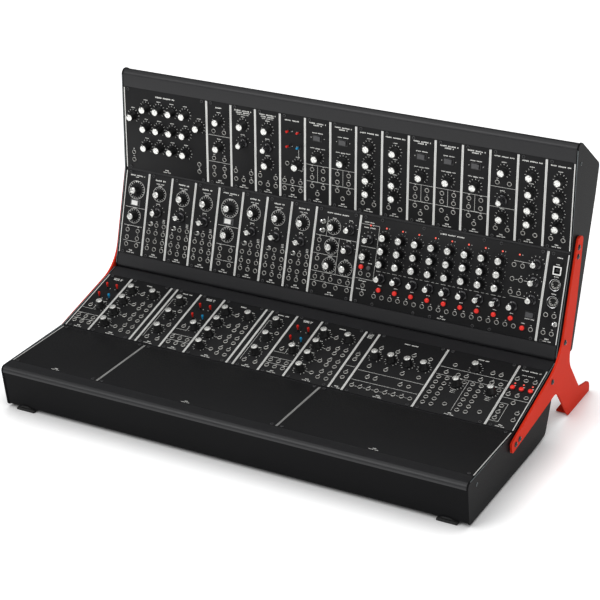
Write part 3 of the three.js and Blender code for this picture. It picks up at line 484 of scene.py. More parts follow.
def grained(
    name,
    tint,
    grain,
    depth,
    roughness,
    spread=0.08,
    shade=0.12,
    stretch=(1, 1, 1),
    specular=0.5,
    metallic=0.0,
    glow=0.0,
):
    """A surface with one grain: uneven colour, uneven gloss and bump; grain and depth are in millimetres.

    The grains are a few times coarser than the real ones, because those are too fine to show.
    """
    material = bpy.data.materials.new(name)
    material.use_nodes = True
    tree = material.node_tree
    tree.nodes.clear()
    place = add_node(tree, "ShaderNodeTexCoord").outputs["Object"]
    scaled = add_node(tree, "ShaderNodeMapping", inputs={"Vector": place, "Scale": stretch})
    fine = add_node(
        tree,
        "ShaderNodeTexNoise",
        inputs={"Vector": scaled.outputs[0], "Scale": 1 / (grain * MM), "Detail": 3.0, "Roughness": 0.6},
    ).outputs["Fac"]
    patches = {"Vector": place, "Scale": 1 / PATCH, "Detail": 2.0}
    broad = add_node(tree, "ShaderNodeTexNoise", inputs=patches).outputs["Fac"]
    mixed = add_node(tree, "ShaderNodeMath", {"operation": "MULTIPLY_ADD"}, {0: broad, 1: 0.5, 2: fine})
    tones = {"From Min": 0.45, "From Max": 1.05, "To Min": 1 - shade, "To Max": 1 + shade}
    tone = add_node(tree, "ShaderNodeMapRange", inputs={"Value": mixed.outputs[0], **tones})
    scale = {"operation": "SCALE"}
    tinted = add_node(tree, "ShaderNodeVectorMath", scale, {0: tuple(tint)[:3], "Scale": tone.outputs[0]})
    glosses = {"From Min": 0.3, "From Max": 0.7, "To Min": roughness - spread, "To Max": roughness + spread}
    gloss = add_node(tree, "ShaderNodeMapRange", inputs={"Value": fine, **glosses})
    bump = add_node(
        tree, "ShaderNodeBump", inputs={"Strength": 0.6, "Distance": depth * MM, "Height": fine}
    )
    surface = add_node(
        tree,
        "ShaderNodeBsdfPrincipled",
        inputs={
            "Base Color": tinted.outputs[0],
            "Roughness": gloss.outputs[0],
            "Normal": bump.outputs[0],
            "Specular IOR Level": specular,
            "Metallic": metallic,
        },
    )
    if glow:
        surface.inputs["Emission Color"].default_value = tuple(tint)
        surface.inputs["Emission Strength"].default_value = glow
    add_node(tree, "ShaderNodeOutputMaterial", inputs={"Surface": surface.outputs[0]})
    return material


def powder_coated_steel():
    """Polyester powder coat on folded steel, baked: a fine even orange peel that breaks up highlights."""
    return grained(
        "Powder_coated_steel", colours().powder_coat, 1.4, 0.1, 0.42, shade=0.1, specular=0.03
    )


def coated_rail():
    """Extruded aluminium rail under satin black powder, smoother than the sheet; its tint is a shade lighter
    than the sheet's, partly painted light for the brighter light on the lips.
    """
    return grained("Coated_rail", colours().rail_coat, 1.2, 0.05, 0.4, 0.06, 0.08, specular=0.36)


def anodised_panel():
    """Black anodised and brushed aluminium: nearly flat, with a faint grain across the panel."""
    brushed = (1, 0.25, 0.25)
    paint = colours().panel_paint
    return grained("Anodised_panel", paint, 0.9, 0.03, 0.5, shade=0.1, stretch=brushed, specular=0.15)


def screen_ink():
    """Screen-printed epoxy ink: matte, slightly uneven where the mesh laid it down."""
    return grained("Screen_ink", colours().print_ink, 0.6, 0.01, 0.6, shade=0.15)


def cut_edge():
    """Bare sawn and brushed aluminium edge: streaks along the panel's side."""
    metal = colours().edge_metal
    return grained("Cut_edge", metal, 1.2, 0.03, 0.42, shade=0.18, stretch=SAWN, metallic=0.3)


def worn_edge():
    """Sawn aluminium edge dulled by handling."""
    metal = linear("#a2a2a0")
    return grained("Worn_edge", metal, 1.2, 0.03, 0.5, shade=0.2, stretch=SAWN, metallic=0.3)


def painted_edge_highlight():
    """Lighter grey laid on the sideways-facing part of a cheek's rounded edge: a painted highlight for the
    light that edge catches.
    """
    return grained("Painted_edge_highlight", linear("#646b6d"), 1.4, 0.05, 0.3, shade=0.1)


def bracket_enamel():
    """Gloss-satin enamel on folded steel sheet: smooth, with a soft broad highlight."""
    return grained("Bracket_enamel", colours().bracket_paint, 2.2, 0.03, 0.5, 0.05, 0.05, specular=0.02)


def moulded_black():
    """Injection-moulded black ABS: fine spark-eroded texture and soft sheen."""
    return grained("Moulded_black", colours().knob_plastic, 0.7, 0.03, 0.34, shade=0.1)


def glossy_black():
    """Polished black ABS of the selector discs: mirror-like at a low angle."""
    return grained("Glossy_black", linear("#232325"), 3, 0.01, 0.2, 0.04, 0.05)


def spun_aluminium():
    """Aluminium cap faced on a lathe: pale metal with small turning streaks."""
    return grained("Spun_aluminium", colours().spun_cap, 1.5, 0.03, 0.28, 0.06, 0.08, metallic=0.65)


def plated_nickel():
    """Nickel-plated brass ring: warm grey and bright."""
    return grained("Plated_nickel", colours().jack_nickel, 0.8, 0.02, 0.3, shade=0.2, metallic=0.5)


def polished_chrome():
    """Chrome-plated lever: clear reflections."""
    return grained("Polished_chrome", linear("#d9d9d9"), 2, 0.01, 0.14, 0.04, 0.05, metallic=1.0)


def socket_dark():
    """Matte near-black moulding of screw heads, washers and sunk socket floors; over the patch sockets'
    holes it is painted shade.
    """
    return grained("Socket_dark", linear("#050505"), 0.8, 0.02, 0.8)


def red_plastic():
    """Glossy red moulded acrylic."""
    return grained("Red_plastic", colours().cap_red, 1.5, 0.01, 0.3, 0.05, 0.1, specular=0.3)


def blue_plastic():
    """Glossy blue moulded acrylic."""
    return grained("Blue_plastic", colours().cap_blue, 1.5, 0.01, 0.3, 0.05, 0.1, specular=0.3)


def button_acrylic():
    """Translucent red acrylic of the push buttons, brighter than the switch caps, with a faint painted glow,
    though no lamp is inside.
    """
    return grained("Button_acrylic", colours().button_red, 1.5, 0.01, 0.3, shade=0.08, glow=0.12)


def grey_plastic_and_glint():
    """Satin grey ABS of the dark rockers, the drivers' bezels and the dark button; on the panel screws' rims
    it is a painted glint.
    """
    return grained("Grey_plastic_and_glint", colours().rocker_grey, 1.2, 0.02, 0.45, shade=0.08)


def white_plastic():
    """White ABS, slightly satin."""
    return grained("White_plastic", colours().cap_white, 1.5, 0.02, 0.35, shade=0.06)


def lit_lamp():
    """Diffused epoxy lamp, lit from inside."""
    return grained("Lit_lamp", colours().lamp_glow, 1, 0.01, 0.3, shade=0.08, glow=0.4)


def black_screw():
    """Black-oxide steel screw head: dull with bright rubbed rims."""
    return grained("Black_screw", linear("#3c4345"), 1, 0.03, 0.26, shade=0.3, metallic=0.9)


def foot_rubber():
    """Moulded nitrile rubber: matte and slightly dusty."""
    return grained("Foot_rubber", colours().rubber, 1.2, 0.08, 0.85)


def solder_mask():
    """Green solder mask over glass-fibre board."""
    return grained("Solder_mask", colours().board, 1.6, 0.02, 0.4)


def studio_board():
    """White laminated board glowing evenly bright; near anything that stands close over it the glow is
    dimmed into a painted contact shadow.
    """
    material = grained("Studio_board", linear("#f4f4f4"), 3, 0.01, 0.3, 0.02, 0.01, glow=0.72)
    tree = material.node_tree
    surface = next(node for node in tree.nodes if node.type == "BSDF_PRINCIPLED")
    # Ambient occlusion dims the glow close to the case, which paints a soft contact shadow on the floor
    open_sky = add_node(tree, "ShaderNodeAmbientOcclusion", inputs={"Distance": 85 * MM})
    painted_contact_shadow = add_node(tree, "ShaderNodeGamma", inputs={"Color": open_sky.outputs["Color"], "Gamma": 2.4})
    tree.links.new(painted_contact_shadow.outputs["Color"], surface.inputs["Emission Color"])
    return material


@functools.cache
def finish(make):
    """The material that a function makes, made once."""
    return make()


# Repeated pieces: copies of a template on points that know their turn and size

Spot = namedtuple("Spot", "at turn size", defaults=((0, 0, 0), (1.0, 1.0, 1.0)))
VECTORS = {"data_type": "FLOAT_VECTOR"}


def started_tree(name, inputs):
    """A node tree that takes points, some inputs and a finish, and the node that gives them."""
    tree = bpy.data.node_groups.new(name, "GeometryNodeTree")
    for socket, kind in {"Points": "Geometry", **inputs, "Finish": "Material"}.items():
        tree.interface.new_socket(socket, in_out="INPUT", socket_type="NodeSocket" + kind)
    tree.interface.new_socket("Copies", in_out="OUTPUT", socket_type="NodeSocketGeometry")
    return tree, add_node(tree, "NodeGroupInput")


def finished_tree(tree, given, shape, **sizes):
    """Ends a node tree: the shape stands on every point, turned, made real and with its finish."""
    turn = add_node(tree, "GeometryNodeInputNamedAttribute", VECTORS, {"Name": "turn"})
    turned_by = add_node(tree, "FunctionNodeEulerToRotation", inputs={"Euler": turn.outputs["Attribute"]})
    placing = {"Points": given.outputs["Points"], "Instance": shape, "Rotation": turned_by.outputs[0]}
    placed_copies = add_node(tree, "GeometryNodeInstanceOnPoints", inputs={**placing, **sizes})
    real = add_node(tree, "GeometryNodeRealizeInstances", inputs={"Geometry": placed_copies.outputs[0]})
    coating = {"Geometry": real.outputs[0], "Material": given.outputs["Finish"]}
    coated = add_node(tree, "GeometryNodeSetMaterial", inputs=coating)
    add_node(tree, "NodeGroupOutput", inputs={"Copies": coated.outputs[0]})
    return tree


@functools.cache
def copies_tree():
    """Node tree that puts a copy of an object on every point."""
    tree, given = started_tree("Copies_on_points", {"Copy": "Object", "Size": "Float"})
    copied = add_node(tree, "GeometryNodeObjectInfo", inputs={"Object": given.outputs["Copy"]})
    size = add_node(tree, "GeometryNodeInputNamedAttribute", VECTORS, {"Name": "size"})
    scaling = {0: size.outputs["Attribute"], "Scale": given.outputs["Size"]}
    scaled = add_node(tree, "ShaderNodeVectorMath", {"operation": "SCALE"}, scaling)
    return finished_tree(tree, given, copied.outputs["Geometry"], Scale=scaled.outputs[0])


@functools.cache
def dial_tree():
    """Node tree that prints a fan of radial ticks round every point."""
    sizes = {"Count": "Int", "Sweep": "Float", "Radius": "Float", "Tick": "Vector"}
    tree, given = started_tree("Dial_ticks", sizes)
    count, sweep = given.outputs["Count"], given.outputs["Sweep"]
    minus, times, by = ({"operation": word} for word in ("SUBTRACT", "MULTIPLY", "DIVIDE"))
    fan = add_node(tree, "GeometryNodeMeshLine", inputs={"Count": count, "Offset": (0, 0, 0)})
    index = add_node(tree, "GeometryNodeInputIndex")
    last = add_node(tree, "ShaderNodeMath", minus, {0: count, 1: 1.0})
    share = add_node(tree, "ShaderNodeMath", by, {0: index.outputs[0], 1: last.outputs[0]})
    centred = add_node(tree, "ShaderNodeMath", minus, {0: 0.5, 1: share.outputs[0]})
    angle = add_node(tree, "ShaderNodeMath", times, {0: centred.outputs[0], 1: sweep}).outputs[0]
    arm = add_node(tree, "ShaderNodeCombineXYZ", inputs={"Y": given.outputs["Radius"]})
    swung = {"Vector": arm.outputs[0], "Angle": angle}
    reach = add_node(tree, "ShaderNodeVectorRotate", {"rotation_type": "Z_AXIS"}, swung)
    places = {"Geometry": fan.outputs[0], "Position": reach.outputs[0]}
    spread = add_node(tree, "GeometryNodeSetPosition", inputs=places)
    tick = add_node(tree, "GeometryNodeMeshCube", inputs={"Size": given.outputs["Tick"]})
    spin = add_node(tree, "ShaderNodeCombineXYZ", inputs={"Z": angle})
    spun = add_node(tree, "FunctionNodeEulerToRotation", inputs={"Euler": spin.outputs[0]})
    standing = {"Points": spread.outputs[0], "Instance": tick.outputs["Mesh"], "Rotation": spun.outputs[0]}
    ticks_on_arc = add_node(tree, "GeometryNodeInstanceOnPoints", inputs=standing)
    one_dial = add_node(tree, "GeometryNodeRealizeInstances", inputs={"Geometry": ticks_on_arc.outputs[0]})
    return finished_tree(tree, given, one_dial.outputs[0])


def grown(name, spots, tree, coat, values):
    """Runs a node tree on the spots and keeps the result as a plain mesh object."""
    points = bpy.data.meshes.new(name + "_points")
    points.from_pydata([spot.at for spot in spots], [], [])
    for word in ("turn", "size"):
        vectors = points.attributes.new(word, "FLOAT_VECTOR", "POINT")
        vectors.data.foreach_set("vector", [value for spot in spots for value in getattr(spot, word)])
    seeds = new_object(name + "_points", points)
    modifier = seeds.modifiers.new("Repeat", "NODES")
    modifier.node_group = tree
    values["Finish"] = finish(coat)
    for item in tree.interface.items_tree:
        if item.in_out == "INPUT" and item.name in values:
            modifier[item.identifier] = values[item.name]
    evaluated = seeds.evaluated_get(bpy.context.evaluated_depsgraph_get())
    mesh = bpy.data.meshes.new_from_object(evaluated)
    mesh.name = name
    for leftover in ("turn", "size"):
        if leftover in mesh.attributes:
            mesh.attributes.remove(mesh.attributes[leftover])
    bpy.data.objects.remove(seeds)
    return new_object(name, mesh)


def copies(name, template, spots, coat):
    """Copies of a template on the spots, all in one finish."""
    return grown(name, spots, copies_tree(), coat, {"Copy": template, "Size": 1.0})


def copies_of_parts(name, parts, spots):
    """Copies of a template that is made of several parts, each as (template, finish)."""
    made = [copies(f"{name}_{number}", part, spots, coat) for number, (part, coat) in enumerate(parts)]
    return join(name, made)


def clear_templates(parts):
    """Removes the templates of some parts after their last use."""
    for template, coat in parts:
        bpy.data.objects.remove(template)


def ticks(name, spots, count, sweep, radius, tick):
    """Fans of printed ticks round the spots."""
    values = {"Count": count, "Sweep": math.radians(sweep), "Radius": radius, "Tick": tick}
    return grown(name, spots, dial_tree(), screen_ink, values)


# Panel layouts: places as shares of a panel's width from the left and of its height


def grid(x_shares, v_shares):
    """Every x at every v, one line of places after another."""
    return [(x, v) for v in v_shares for x in x_shares]


def run(start, step, count):
    """Evenly spaced shares."""
    return [start + step * index for index in range(count)]


STAGES = run(0.144, 0.0889, 8)
STAGE_LAMPS = run(0.1476, 0.0889, 9)
BOTTOM_RUN = [share for index, share in enumerate(run(0.123, 0.0444, 20)) if index != 18]

LAYOUTS = {
    "bank": {
        "knob": grid([0.264, 0.422, 0.58, 0.742], [0.777, 0.543, 0.31]) + [(0.105, 0.66), (0.907, 0.66)],
        "jack": [(0.098, 0.21), (0.098, 0.117), (0.9, 0.206), (0.9, 0.117)],
    },
    "noise": {
        "knob": [(0.5, 0.777), (0.5, 0.459)],
        "jack": grid([0.283, 0.714], [0.646, 0.319, 0.206, 0.117]),
    },
    "low_pass": {
        "knob": [(0.5, 0.777)],
        "selector": [(0.5, 0.56)],
        "jack": [(0.185, 0.214), (0.82, 0.214)] + grid([0.19, 0.5, 0.82], [0.117]),
    },
    "high_pass": {
        "knob": [(0.5, 0.777), (0.5, 0.366)],
        "selector": [(0.5, 0.56)],
        "jack": [(0.185, 0.214), (0.82, 0.214)] + grid([0.19, 0.5, 0.82], [0.117]),
    },
    "patch": {
        "toggle": grid([0.381, 0.787], [0.805, 0.63]),
        "knob": [(0.714, 0.412)],
        "jack": [(0.295, 0.42)] + grid([0.182, 0.497, 0.82], [0.21, 0.117]),
    },
    "amplifier": {
        "rocker": [(0.5, 0.778)],
        "knob": [(0.5, 0.553)],
        "jack": grid([0.288, 0.728], [0.4, 0.304, 0.202]) + [(0.5, 0.117)],
    },
    "envelope": {
        "knob": grid([0.5], [0.777, 0.591, 0.412, 0.255]),
        "jack": grid([0.29, 0.726], [0.117]),
    },
    "delay": {
        "knob": grid([0.5], [0.777, 0.249]),
        "selector": [(0.5, 0.451)],
        "jack": grid([0.29, 0.726], [0.642, 0.117]),
    },
    "driver": {
        "knob": grid([0.504], [0.776, 0.465]),
        "rocker": [(0.517, 0.623)],
        "jack": grid([0.295, 0.738], [0.292, 0.202, 0.117]),
    },
    "oscillator": {
        "knob": [(0.504, 0.774)],
        "selector": [(0.5, 0.556)],
        "toggle": [(0.283, 0.412)],
        "jack": [(0.517, 0.405), (0.837, 0.405)] + grid([0.209, 0.517, 0.837], [0.311, 0.21, 0.117]),
    },
    "coupler": {
        "toggle": [(0.194, 0.84), (0.197, 0.739)],
        "knob": grid([0.422], [0.798, 0.572, 0.358]) + [(0.787, 0.358)],
        "selector": grid([0.8], [0.8, 0.572]),
        "jack": grid([0.141], [0.623, 0.521, 0.412, 0.311])
        + grid([0.141, 0.309, 0.492, 0.703, 0.886], [0.202])
        + grid([0.141, 0.38, 0.633, 0.886], [0.117]),
    },
    "sequencer": {
        "knob": grid(STAGES, [0.79, 0.642, 0.494]) + [(0.049, 0.545)],
        "selector": grid(STAGE_LAMPS, [0.327]) + [(0.058, 0.732)] + grid([0.949], [0.825, 0.63, 0.436]),
        "button": grid(STAGE_LAMPS, [0.198]) + [(0.924, 0.117), (0.037, 0.42), (0.079, 0.42)],
        "lamp": grid(STAGE_LAMPS, [0.895]) + [(0.06, 0.895)],
        "rocker": [(0.953, 0.272)],
        "jack": [(0.035, 0.342), (0.079, 0.342)]
        + grid([0.056], [0.21, 0.117])
        + grid(BOTTOM_RUN, [0.117])
        + grid([0.8366, 0.8805], [0.778, 0.623, 0.479]),
    },
    "midi": {
        "usb": [(0.525, 0.8)],
        "din": grid([0.525], [0.646, 0.459]),
        "toggle": [(0.787, 0.226)],
        "jack": grid([0.295, 0.689], [0.311, 0.117]),
    },
    "channel": {
        "toggle": grid([0.394, 0.812], [0.755, 0.572]),
        "knob": [(0.726, 0.424)],
        "jack": [(0.295, 0.416)] + grid([0.192, 0.5, 0.812], [0.21, 0.117]),
    },
    "mixer": {
        "knob": grid([0.236], [0.782, 0.58, 0.37, 0.163]) + [(0.77, 0.782)],
        "jack": grid([0.499], [0.778, 0.576, 0.366, 0.16])
        + grid([0.675, 0.858], [0.615, 0.529, 0.412, 0.327, 0.21, 0.117]),
    },
    "attenuator": {
        "knob": grid([0.5], [0.782, 0.525, 0.261]),
        "jack": [(0.733, 0.638), (0.733, 0.377), (0.726, 0.117), (0.295, 0.117)],
    },
    "multiple": {"jack": grid([0.49], [0.6, 0.514, 0.288, 0.202])},
    "processor": {
        "knob": grid([0.145, 0.38, 0.614, 0.848], [0.619]),
        "jack": grid([0.145, 0.384, 0.62, 0.855], [0.776, 0.459])
        + grid([0.216, 0.328, 0.684, 0.806], [0.288])
        + grid(run(0.089, 0.118, 8), [0.117]),
    },
    "interface": {
        "knob": [(0.492, 0.782), (0.37, 0.486), (0.848, 0.486)],
        "jack": grid([0.206, 0.731, 0.844], [0.778])
        + grid([0.15, 0.319, 0.431, 0.628, 0.787, 0.909], [0.638])
        + grid([0.094, 0.211, 0.567, 0.684], [0.545, 0.459, 0.374, 0.288, 0.202, 0.117])
        + [(0.45, 0.545), (0.928, 0.545), (0.375, 0.163), (0.853, 0.163)],
    },
    "switch": {
        "button": grid([0.197, 0.517, 0.837], [0.623]),
        "lamp": grid([0.19, 0.5, 0.82], [0.707]),
        "jack": grid([0.172, 0.492, 0.812], [0.778, 0.521])
        + [(0.5, 0.405)]
        + grid([0.812], [0.265, 0.156])
        + grid([0.185], [0.327, 0.226, 0.132]),
    },
}


def across(v, start, end):
    """A level rule."""
    return ((start, v), (end, v))


def upright(x, low, high):
    """An upright rule."""
    return ((x, low), (x, high))


# Printed rules of each layout, as (x, v) shares from end to end
DASHES = ((0, 0.026), (0.037, 0.052), (0.062, 0.076))
RULES = {
    "noise": [across(0.595, 0.05, 0.96), across(0.276, 0.05, 0.96)],
    "patch": [
        upright(0.75, 0.49, 0.6),
        across(0.355, 0.5, 0.92),
        upright(0.5, 0.355, 0.4),
        upright(0.92, 0.355, 0.4),
        across(0.165, 0.06, 0.94),
    ],
    "amplifier": [across(0.452, 0.05, 0.95), across(0.255, 0.05, 0.95), upright(0.5, 0.255, 0.452)],
    "delay": [across(0.59, 0.05, 0.95), across(0.36, 0.05, 0.95)],
    "driver": [across(0.564, 0.1, 0.935), across(0.16, 0.15, 0.886), across(0.345, 0.12, 0.9)],
    "coupler": [
        across(0.68, 0.04, 0.97),
        across(0.47, 0.04, 0.58),
        across(0.267, 0.04, 0.97),
        across(0.158, 0.04, 0.97),
        upright(0.58, 0.267, 0.68),
        upright(0.28, 0.68, 0.9),
    ],
    "sequencer": [
        across(0.822, 0.8366, 0.925),
        across(0.623, 0.849, 0.868),
        across(0.623, 0.893, 0.925),
        across(0.436, 0.8366, 0.925),
        across(0.9, 0.01, 0.108),
        upright(0.108, 0.285, 0.9),
        across(0.65, 0.02, 0.1),
        across(0.285, 0.01, 0.108),
    ]
    + [across(0.404, x + start, x + end) for x in run(0.118, 0.0889, 8) for start, end in DASHES],
    "channel": [
        across(0.36, 0.06, 0.5),
        upright(0.5, 0.36, 0.47),
        across(0.265, 0.06, 0.94),
        across(0.165, 0.06, 0.94),
    ],
    "mixer": [across(v, 0.39, 0.44) for v in (0.778, 0.576, 0.366, 0.16)],
    "attenuator": [upright(0.12, 0.12, 0.82), across(0.82, 0.12, 0.3)],
    "multiple": [across(0.4, 0.12, 0.88)],
    "processor": [across(0.374, 0.03, 0.97), across(0.21, 0.03, 0.97)]
    + [upright(x, 0.69, 0.745) for x in (0.145, 0.384, 0.62, 0.855)]
    + [across(0.117, x - 0.02, x + 0.02) for x in run(0.148, 0.118, 7)],
    "interface": [across(0.716, 0.03, 0.97), across(0.591, 0.03, 0.97), upright(0.497, 0.09, 0.591)],
    "switch": [
        across(0.465, 0.03, 0.97),
        across(0.375, 0.05, 0.36),
        upright(0.36, 0.09, 0.375),
        across(0.09, 0.05, 0.36),
    ],
}

# Plain bars that stand for the titles, as (x, v, bars, their height in millimetres)
TITLES = {
    "bank": [(0.5, 0.93, 15, 2)],
    "noise": [(0.5, 0.93, 5, 1.9)],
    "low_pass": [(0.5, 0.945, 14, 1.8), (0.5, 0.922, 12, 1.8), (0.5, 0.9, 16, 1.1)],
    "high_pass": [(0.5, 0.945, 14, 1.8), (0.5, 0.922, 12, 1.8), (0.5, 0.9, 16, 1.1)],
    "patch": [(0.5, 0.93, 13, 1.8)],
    "amplifier": [
        (0.5, 0.945, 14, 1.8),
        (0.5, 0.922, 7, 1.8),
        (0.5, 0.835, 12, 1.3),
        (0.5, 0.655, 18, 1.2),
        (0.5, 0.255, 10, 1.3),
    ],
    "envelope": [(0.5, 0.935, 16, 1.7)],
    "delay": [(0.5, 0.935, 17, 1.6)],
    "driver": [(0.5, 0.945, 14, 1.7), (0.5, 0.925, 6, 1)],
    "oscillator": [(0.5, 0.934, 8, 2.1), (0.5, 0.893, 11, 1.1)]
    + [(0.81, v, 4, 1) for v in (0.482, 0.466, 0.45)],
    "coupler": [(0.5, 0.95, 20, 1.6)],
    "sequencer": [
        (0.503, 0.955, 20, 1.8),
        (0.05, 0.925, 11, 1.3),
        (0.055, 0.866, 12, 1.4),
        (0.035, 0.468, 4, 1.2),
        (0.082, 0.468, 4, 1.2),
        (0.05, 0.262, 9, 1.2),
        (0.05, 0.165, 13, 1.2),
        (0.953, 0.225, 10, 1.3),
    ],
    "midi": [(0.6, 0.94, 6, 1.6)],
    "channel": [(0.5, 0.945, 8, 1.8), (0.5, 0.925, 7, 1.8)],
    "mixer": [(0.5, 0.94, 5, 1.8)],
    "attenuator": [(0.5, 0.945, 9, 1.8)],
    "multiple": [(0.5, v, 6, 1.4) for v in (0.96, 0.94, 0.92, 0.9)],
    "processor": [(0.5, 0.93, 12, 1.6)],
    "interface": [(0.52, 0.945, 9, 1.6)] + [(x, v, 7, 1) for x in (0.37, 0.85) for v in (0.41, 0.385, 0.36)],
    "switch": [(0.5, 0.93, 15, 1.8), (0.48, 0.856, 14, 1.2)],
}

# Steps that the panel of a layout takes; a layout that isn't listed takes one unit
PITCHES = {
    "bank": BANK,
    "coupler": MIXER,
    "sequencer": LONG,
    "midi": PLUG,
    "mixer": MIXER,
    "multiple": MULTIPLE,
    "processor": UTILITY,
    "interface": UTILITY,
    "slim_blank": SLIM,
    "short_blank": BANK,
    "long_blank": LONG,
}

# Each row with the CAD nodes of its panels, and the layouts of the modules in each node
Row = namedtuple("Row", "tilt bend reach nodes")
ROWS = {
    "top": Row(
        CASE_TURN + ROW_TILT,
        UPPER_BEND,
        BEND_HALF_GAP,
        {
            "filter_bank_module": ["bank"],
            "noise_and_filter_modules": ["noise", "low_pass", "high_pass", "patch"],
            "amplifier_and_envelope_modules": ["amplifier", "amplifier", "envelope", "envelope"],
            "triple_amplifier_modules": ["amplifier", "amplifier", "amplifier"],
            "trigger_and_envelope_modules": ["delay", "envelope", "envelope"],
        },
    ),
    "voice": Row(
        CASE_TURN,
        UPPER_BEND,
        -PANEL_EDGE,
        {
            "oscillator_bank_left": ["driver", "oscillator", "oscillator", "oscillator"],
            "oscillator_bank_right": ["driver", "oscillator", "oscillator", "oscillator"],
            "coupler_module": ["coupler"],
            "sequencer_module": ["sequencer"],
            "midi_module": ["midi"],
        },
    ),
    "mixer": Row(
        ROW_TILT,
        LOWER_BEND,
        BEND_HALF_GAP,
        {
            "mixer_section_left": ["channel", "mixer", "slim_blank", "attenuator"],
            "mixer_section_middle": ["channel", "mixer", "slim_blank", "attenuator"],
            "mixer_section_right": ["channel", "mixer", "multiple"],
            "processor_module": ["processor"],
            "interface_module": ["interface"],
            "sequential_switch_module": ["switch"],
        },
    ),
    "blank": Row(
        0.0,
        LOWER_BEND,
        -PANEL_EDGE,
        {
            "blank_panel_left": ["short_blank"],
            "blank_panel_middle": ["long_blank"],
            "blank_panel_right": ["long_blank"],
        },
    ),
}

# The CAD nodes of the controls that move, by (node of their panel, module in it, kind, index)
MOVING = {
    ("filter_bank_module", 0, "knob", 1): "filter_bank_knob",
    ("noise_and_filter_modules", 1, "selector", 0): "filter_range_selector",
    ("noise_and_filter_modules", 3, "toggle", 0): "patch_switch_red",
    ("amplifier_and_envelope_modules", 0, "knob", 0): "amplifier_knob",
    ("amplifier_and_envelope_modules", 0, "rocker", 0): "amplifier_mode_rocker",
    ("amplifier_and_envelope_modules", 2, "knob", 0): "envelope_knob",
    ("oscillator_bank_left", 0, "knob", 0): "driver_tuning_knob",
    ("oscillator_bank_left", 0, "rocker", 0): "driver_range_rocker",
    ("oscillator_bank_left", 1, "knob", 0): "oscillator_frequency_knob",
    ("oscillator_bank_left", 1, "selector", 0): "oscillator_range_selector",
    ("oscillator_bank_left", 1, "toggle", 0): "oscillator_sync_toggle",
    ("coupler_module", 0, "knob", 1): "coupler_knob",
    ("coupler_module", 0, "selector", 0): "coupler_selector",
    ("sequencer_module", 0, "knob", 0): "sequencer_stage_knob",
    ("sequencer_module", 0, "selector", 0): "sequencer_stage_selector",
    ("sequencer_module", 0, "button", 0): "sequencer_stage_button",
    ("mixer_section_left", 1, "knob", 4): "mixer_level_knob",
    ("mixer_section_left", 3, "knob", 0): "attenuator_knob",
    ("mixer_section_middle", 0, "toggle", 3): "channel_switch_blue",
    ("processor_module", 0, "knob", 0): "processor_knob",
    ("sequential_switch_module", 0, "button", 0): "sequential_switch_button",
}

Module = namedtuple("Module", "row node place left width layout")
Control = namedtuple("Control", "row layout kind index x v node")


def all_modules():
    """Every module of every row, from left to right."""
    for row in ROWS.values():
        left = 0.0
        for node, layouts in row.nodes.items():
            for place, layout in enumerate(layouts):
                width = PITCHES.get(layout, UNIT) * PITCH
                yield Module(row, node, place, left, width, layout)
                left += width


MODULES = list(all_modules())


def all_controls():
    """Every control on its row, with the CAD node that it stands for where it moves."""
    for module in MODULES:
        for kind, places in LAYOUTS.get(module.layout, {}).items():
            for index, (x, v) in enumerate(places):
                node = MOVING.get((module.node, module.place, kind, index))
                at = (module.left + x * module.width, v * PANEL_HEIGHT)
                yield Control(module.row, module.layout, kind, index, *at, node)


CONTROLS = list(all_controls())


def of_kind(kind, keep=lambda control: True):
    """The controls of a kind, or those of them to keep."""
    return [control for control in CONTROLS if control.kind == kind and keep(control)]


def row_matrix(row):
    """The row's frame: x from its left end, y up the panels, z out of them."""
    start = row.bend + turned(side(row.reach, 0), row.tilt)
    return Matrix.Translation((-HALF_ROW, start.x, start.y)) @ Matrix.Rotation(row.tilt, 4, "X")


def spot(row, x, v, height=0.0, spin=0.0, lean=0.0, lean_across=0.0, size=(1.0, 1.0, 1.0)):
    """A place on a row, with the turn of what stands there."""
    matrix = row_matrix(row)
    turn = matrix.to_3x3()
    for angle, axis in ((lean, "X"), (lean_across, "Y"), (spin, "Z")):
        turn = turn @ Matrix.Rotation(angle, 3, axis)
    return Spot(matrix @ Vector((x, v, height)), tuple(turn.to_euler()), size)


def fixed_copies(name, template, controls, coat, slot_name):
    """One fixed piece with a copy of a template at each control; the template is used up."""
    spots = [spot(c.row, c.x, c.v) for c in controls]
    dress(copies(name, template, spots, coat), STATIC, slot_name)
    bpy.data.objects.remove(template)


def place_kind(name, controls, parts, slot_name, how=lambda control: {}):
    """One piece for all fixed controls of a kind, and one for each that moves.

    parts lists (template, finish) and how gives further turns of a control.
    """
    fixed = [control for control in controls if not control.node]
    groups = [(name, fixed, STATIC, ())] if fixed else []
    groups += [(c.node + "_dressed", [c], c.node + "_body", (c.node,)) for c in controls if c.node]
    for piece_name, members, body, nodes in groups:
        spots = [spot(c.row, c.x, c.v, **how(c)) for c in members]
        dress(copies_of_parts(piece_name, parts, spots), body, slot_name, *nodes)


# Operators, one for each piece or group of like pieces

SIDES = (("left", -1), ("right", 1))

# How far the end screws stand in from a row's end and under the row, and the middle ones by the bend
END_BORE = (4.5 * MM, 13.5 * MM)
MIDDLE_BORE = (4.8 * MM, 14 * MM)

# A low countersunk screw for the cheeks' free bores, as (radius, height) in millimetres
CHEEK_SCREW = [(0, 0), (2.8, 0), (2.8, 0.2), (2.3, 0.5), (1.5, 0.55), (1.3, 0.2), (0, 0.2)]

# A cheek's rounded edge gets a painted highlight where it faces sideways by a share between these
HIGHLIGHT_SHARES = (0.4, 0.85)


def end_bore(on_row):
    """The side view place of a screw at the far end of a row."""
    return on_row(PANEL_EDGE - END_BORE[0], -END_BORE[1])


def cheek_faces():
    """How far the inside and the outside of a cheek stand from the middle."""
    sizes = case_sizes()
    inner = HALF_ROW + sizes.clearance / 3 + sizes.clearance
    return inner, inner + sizes.cheek


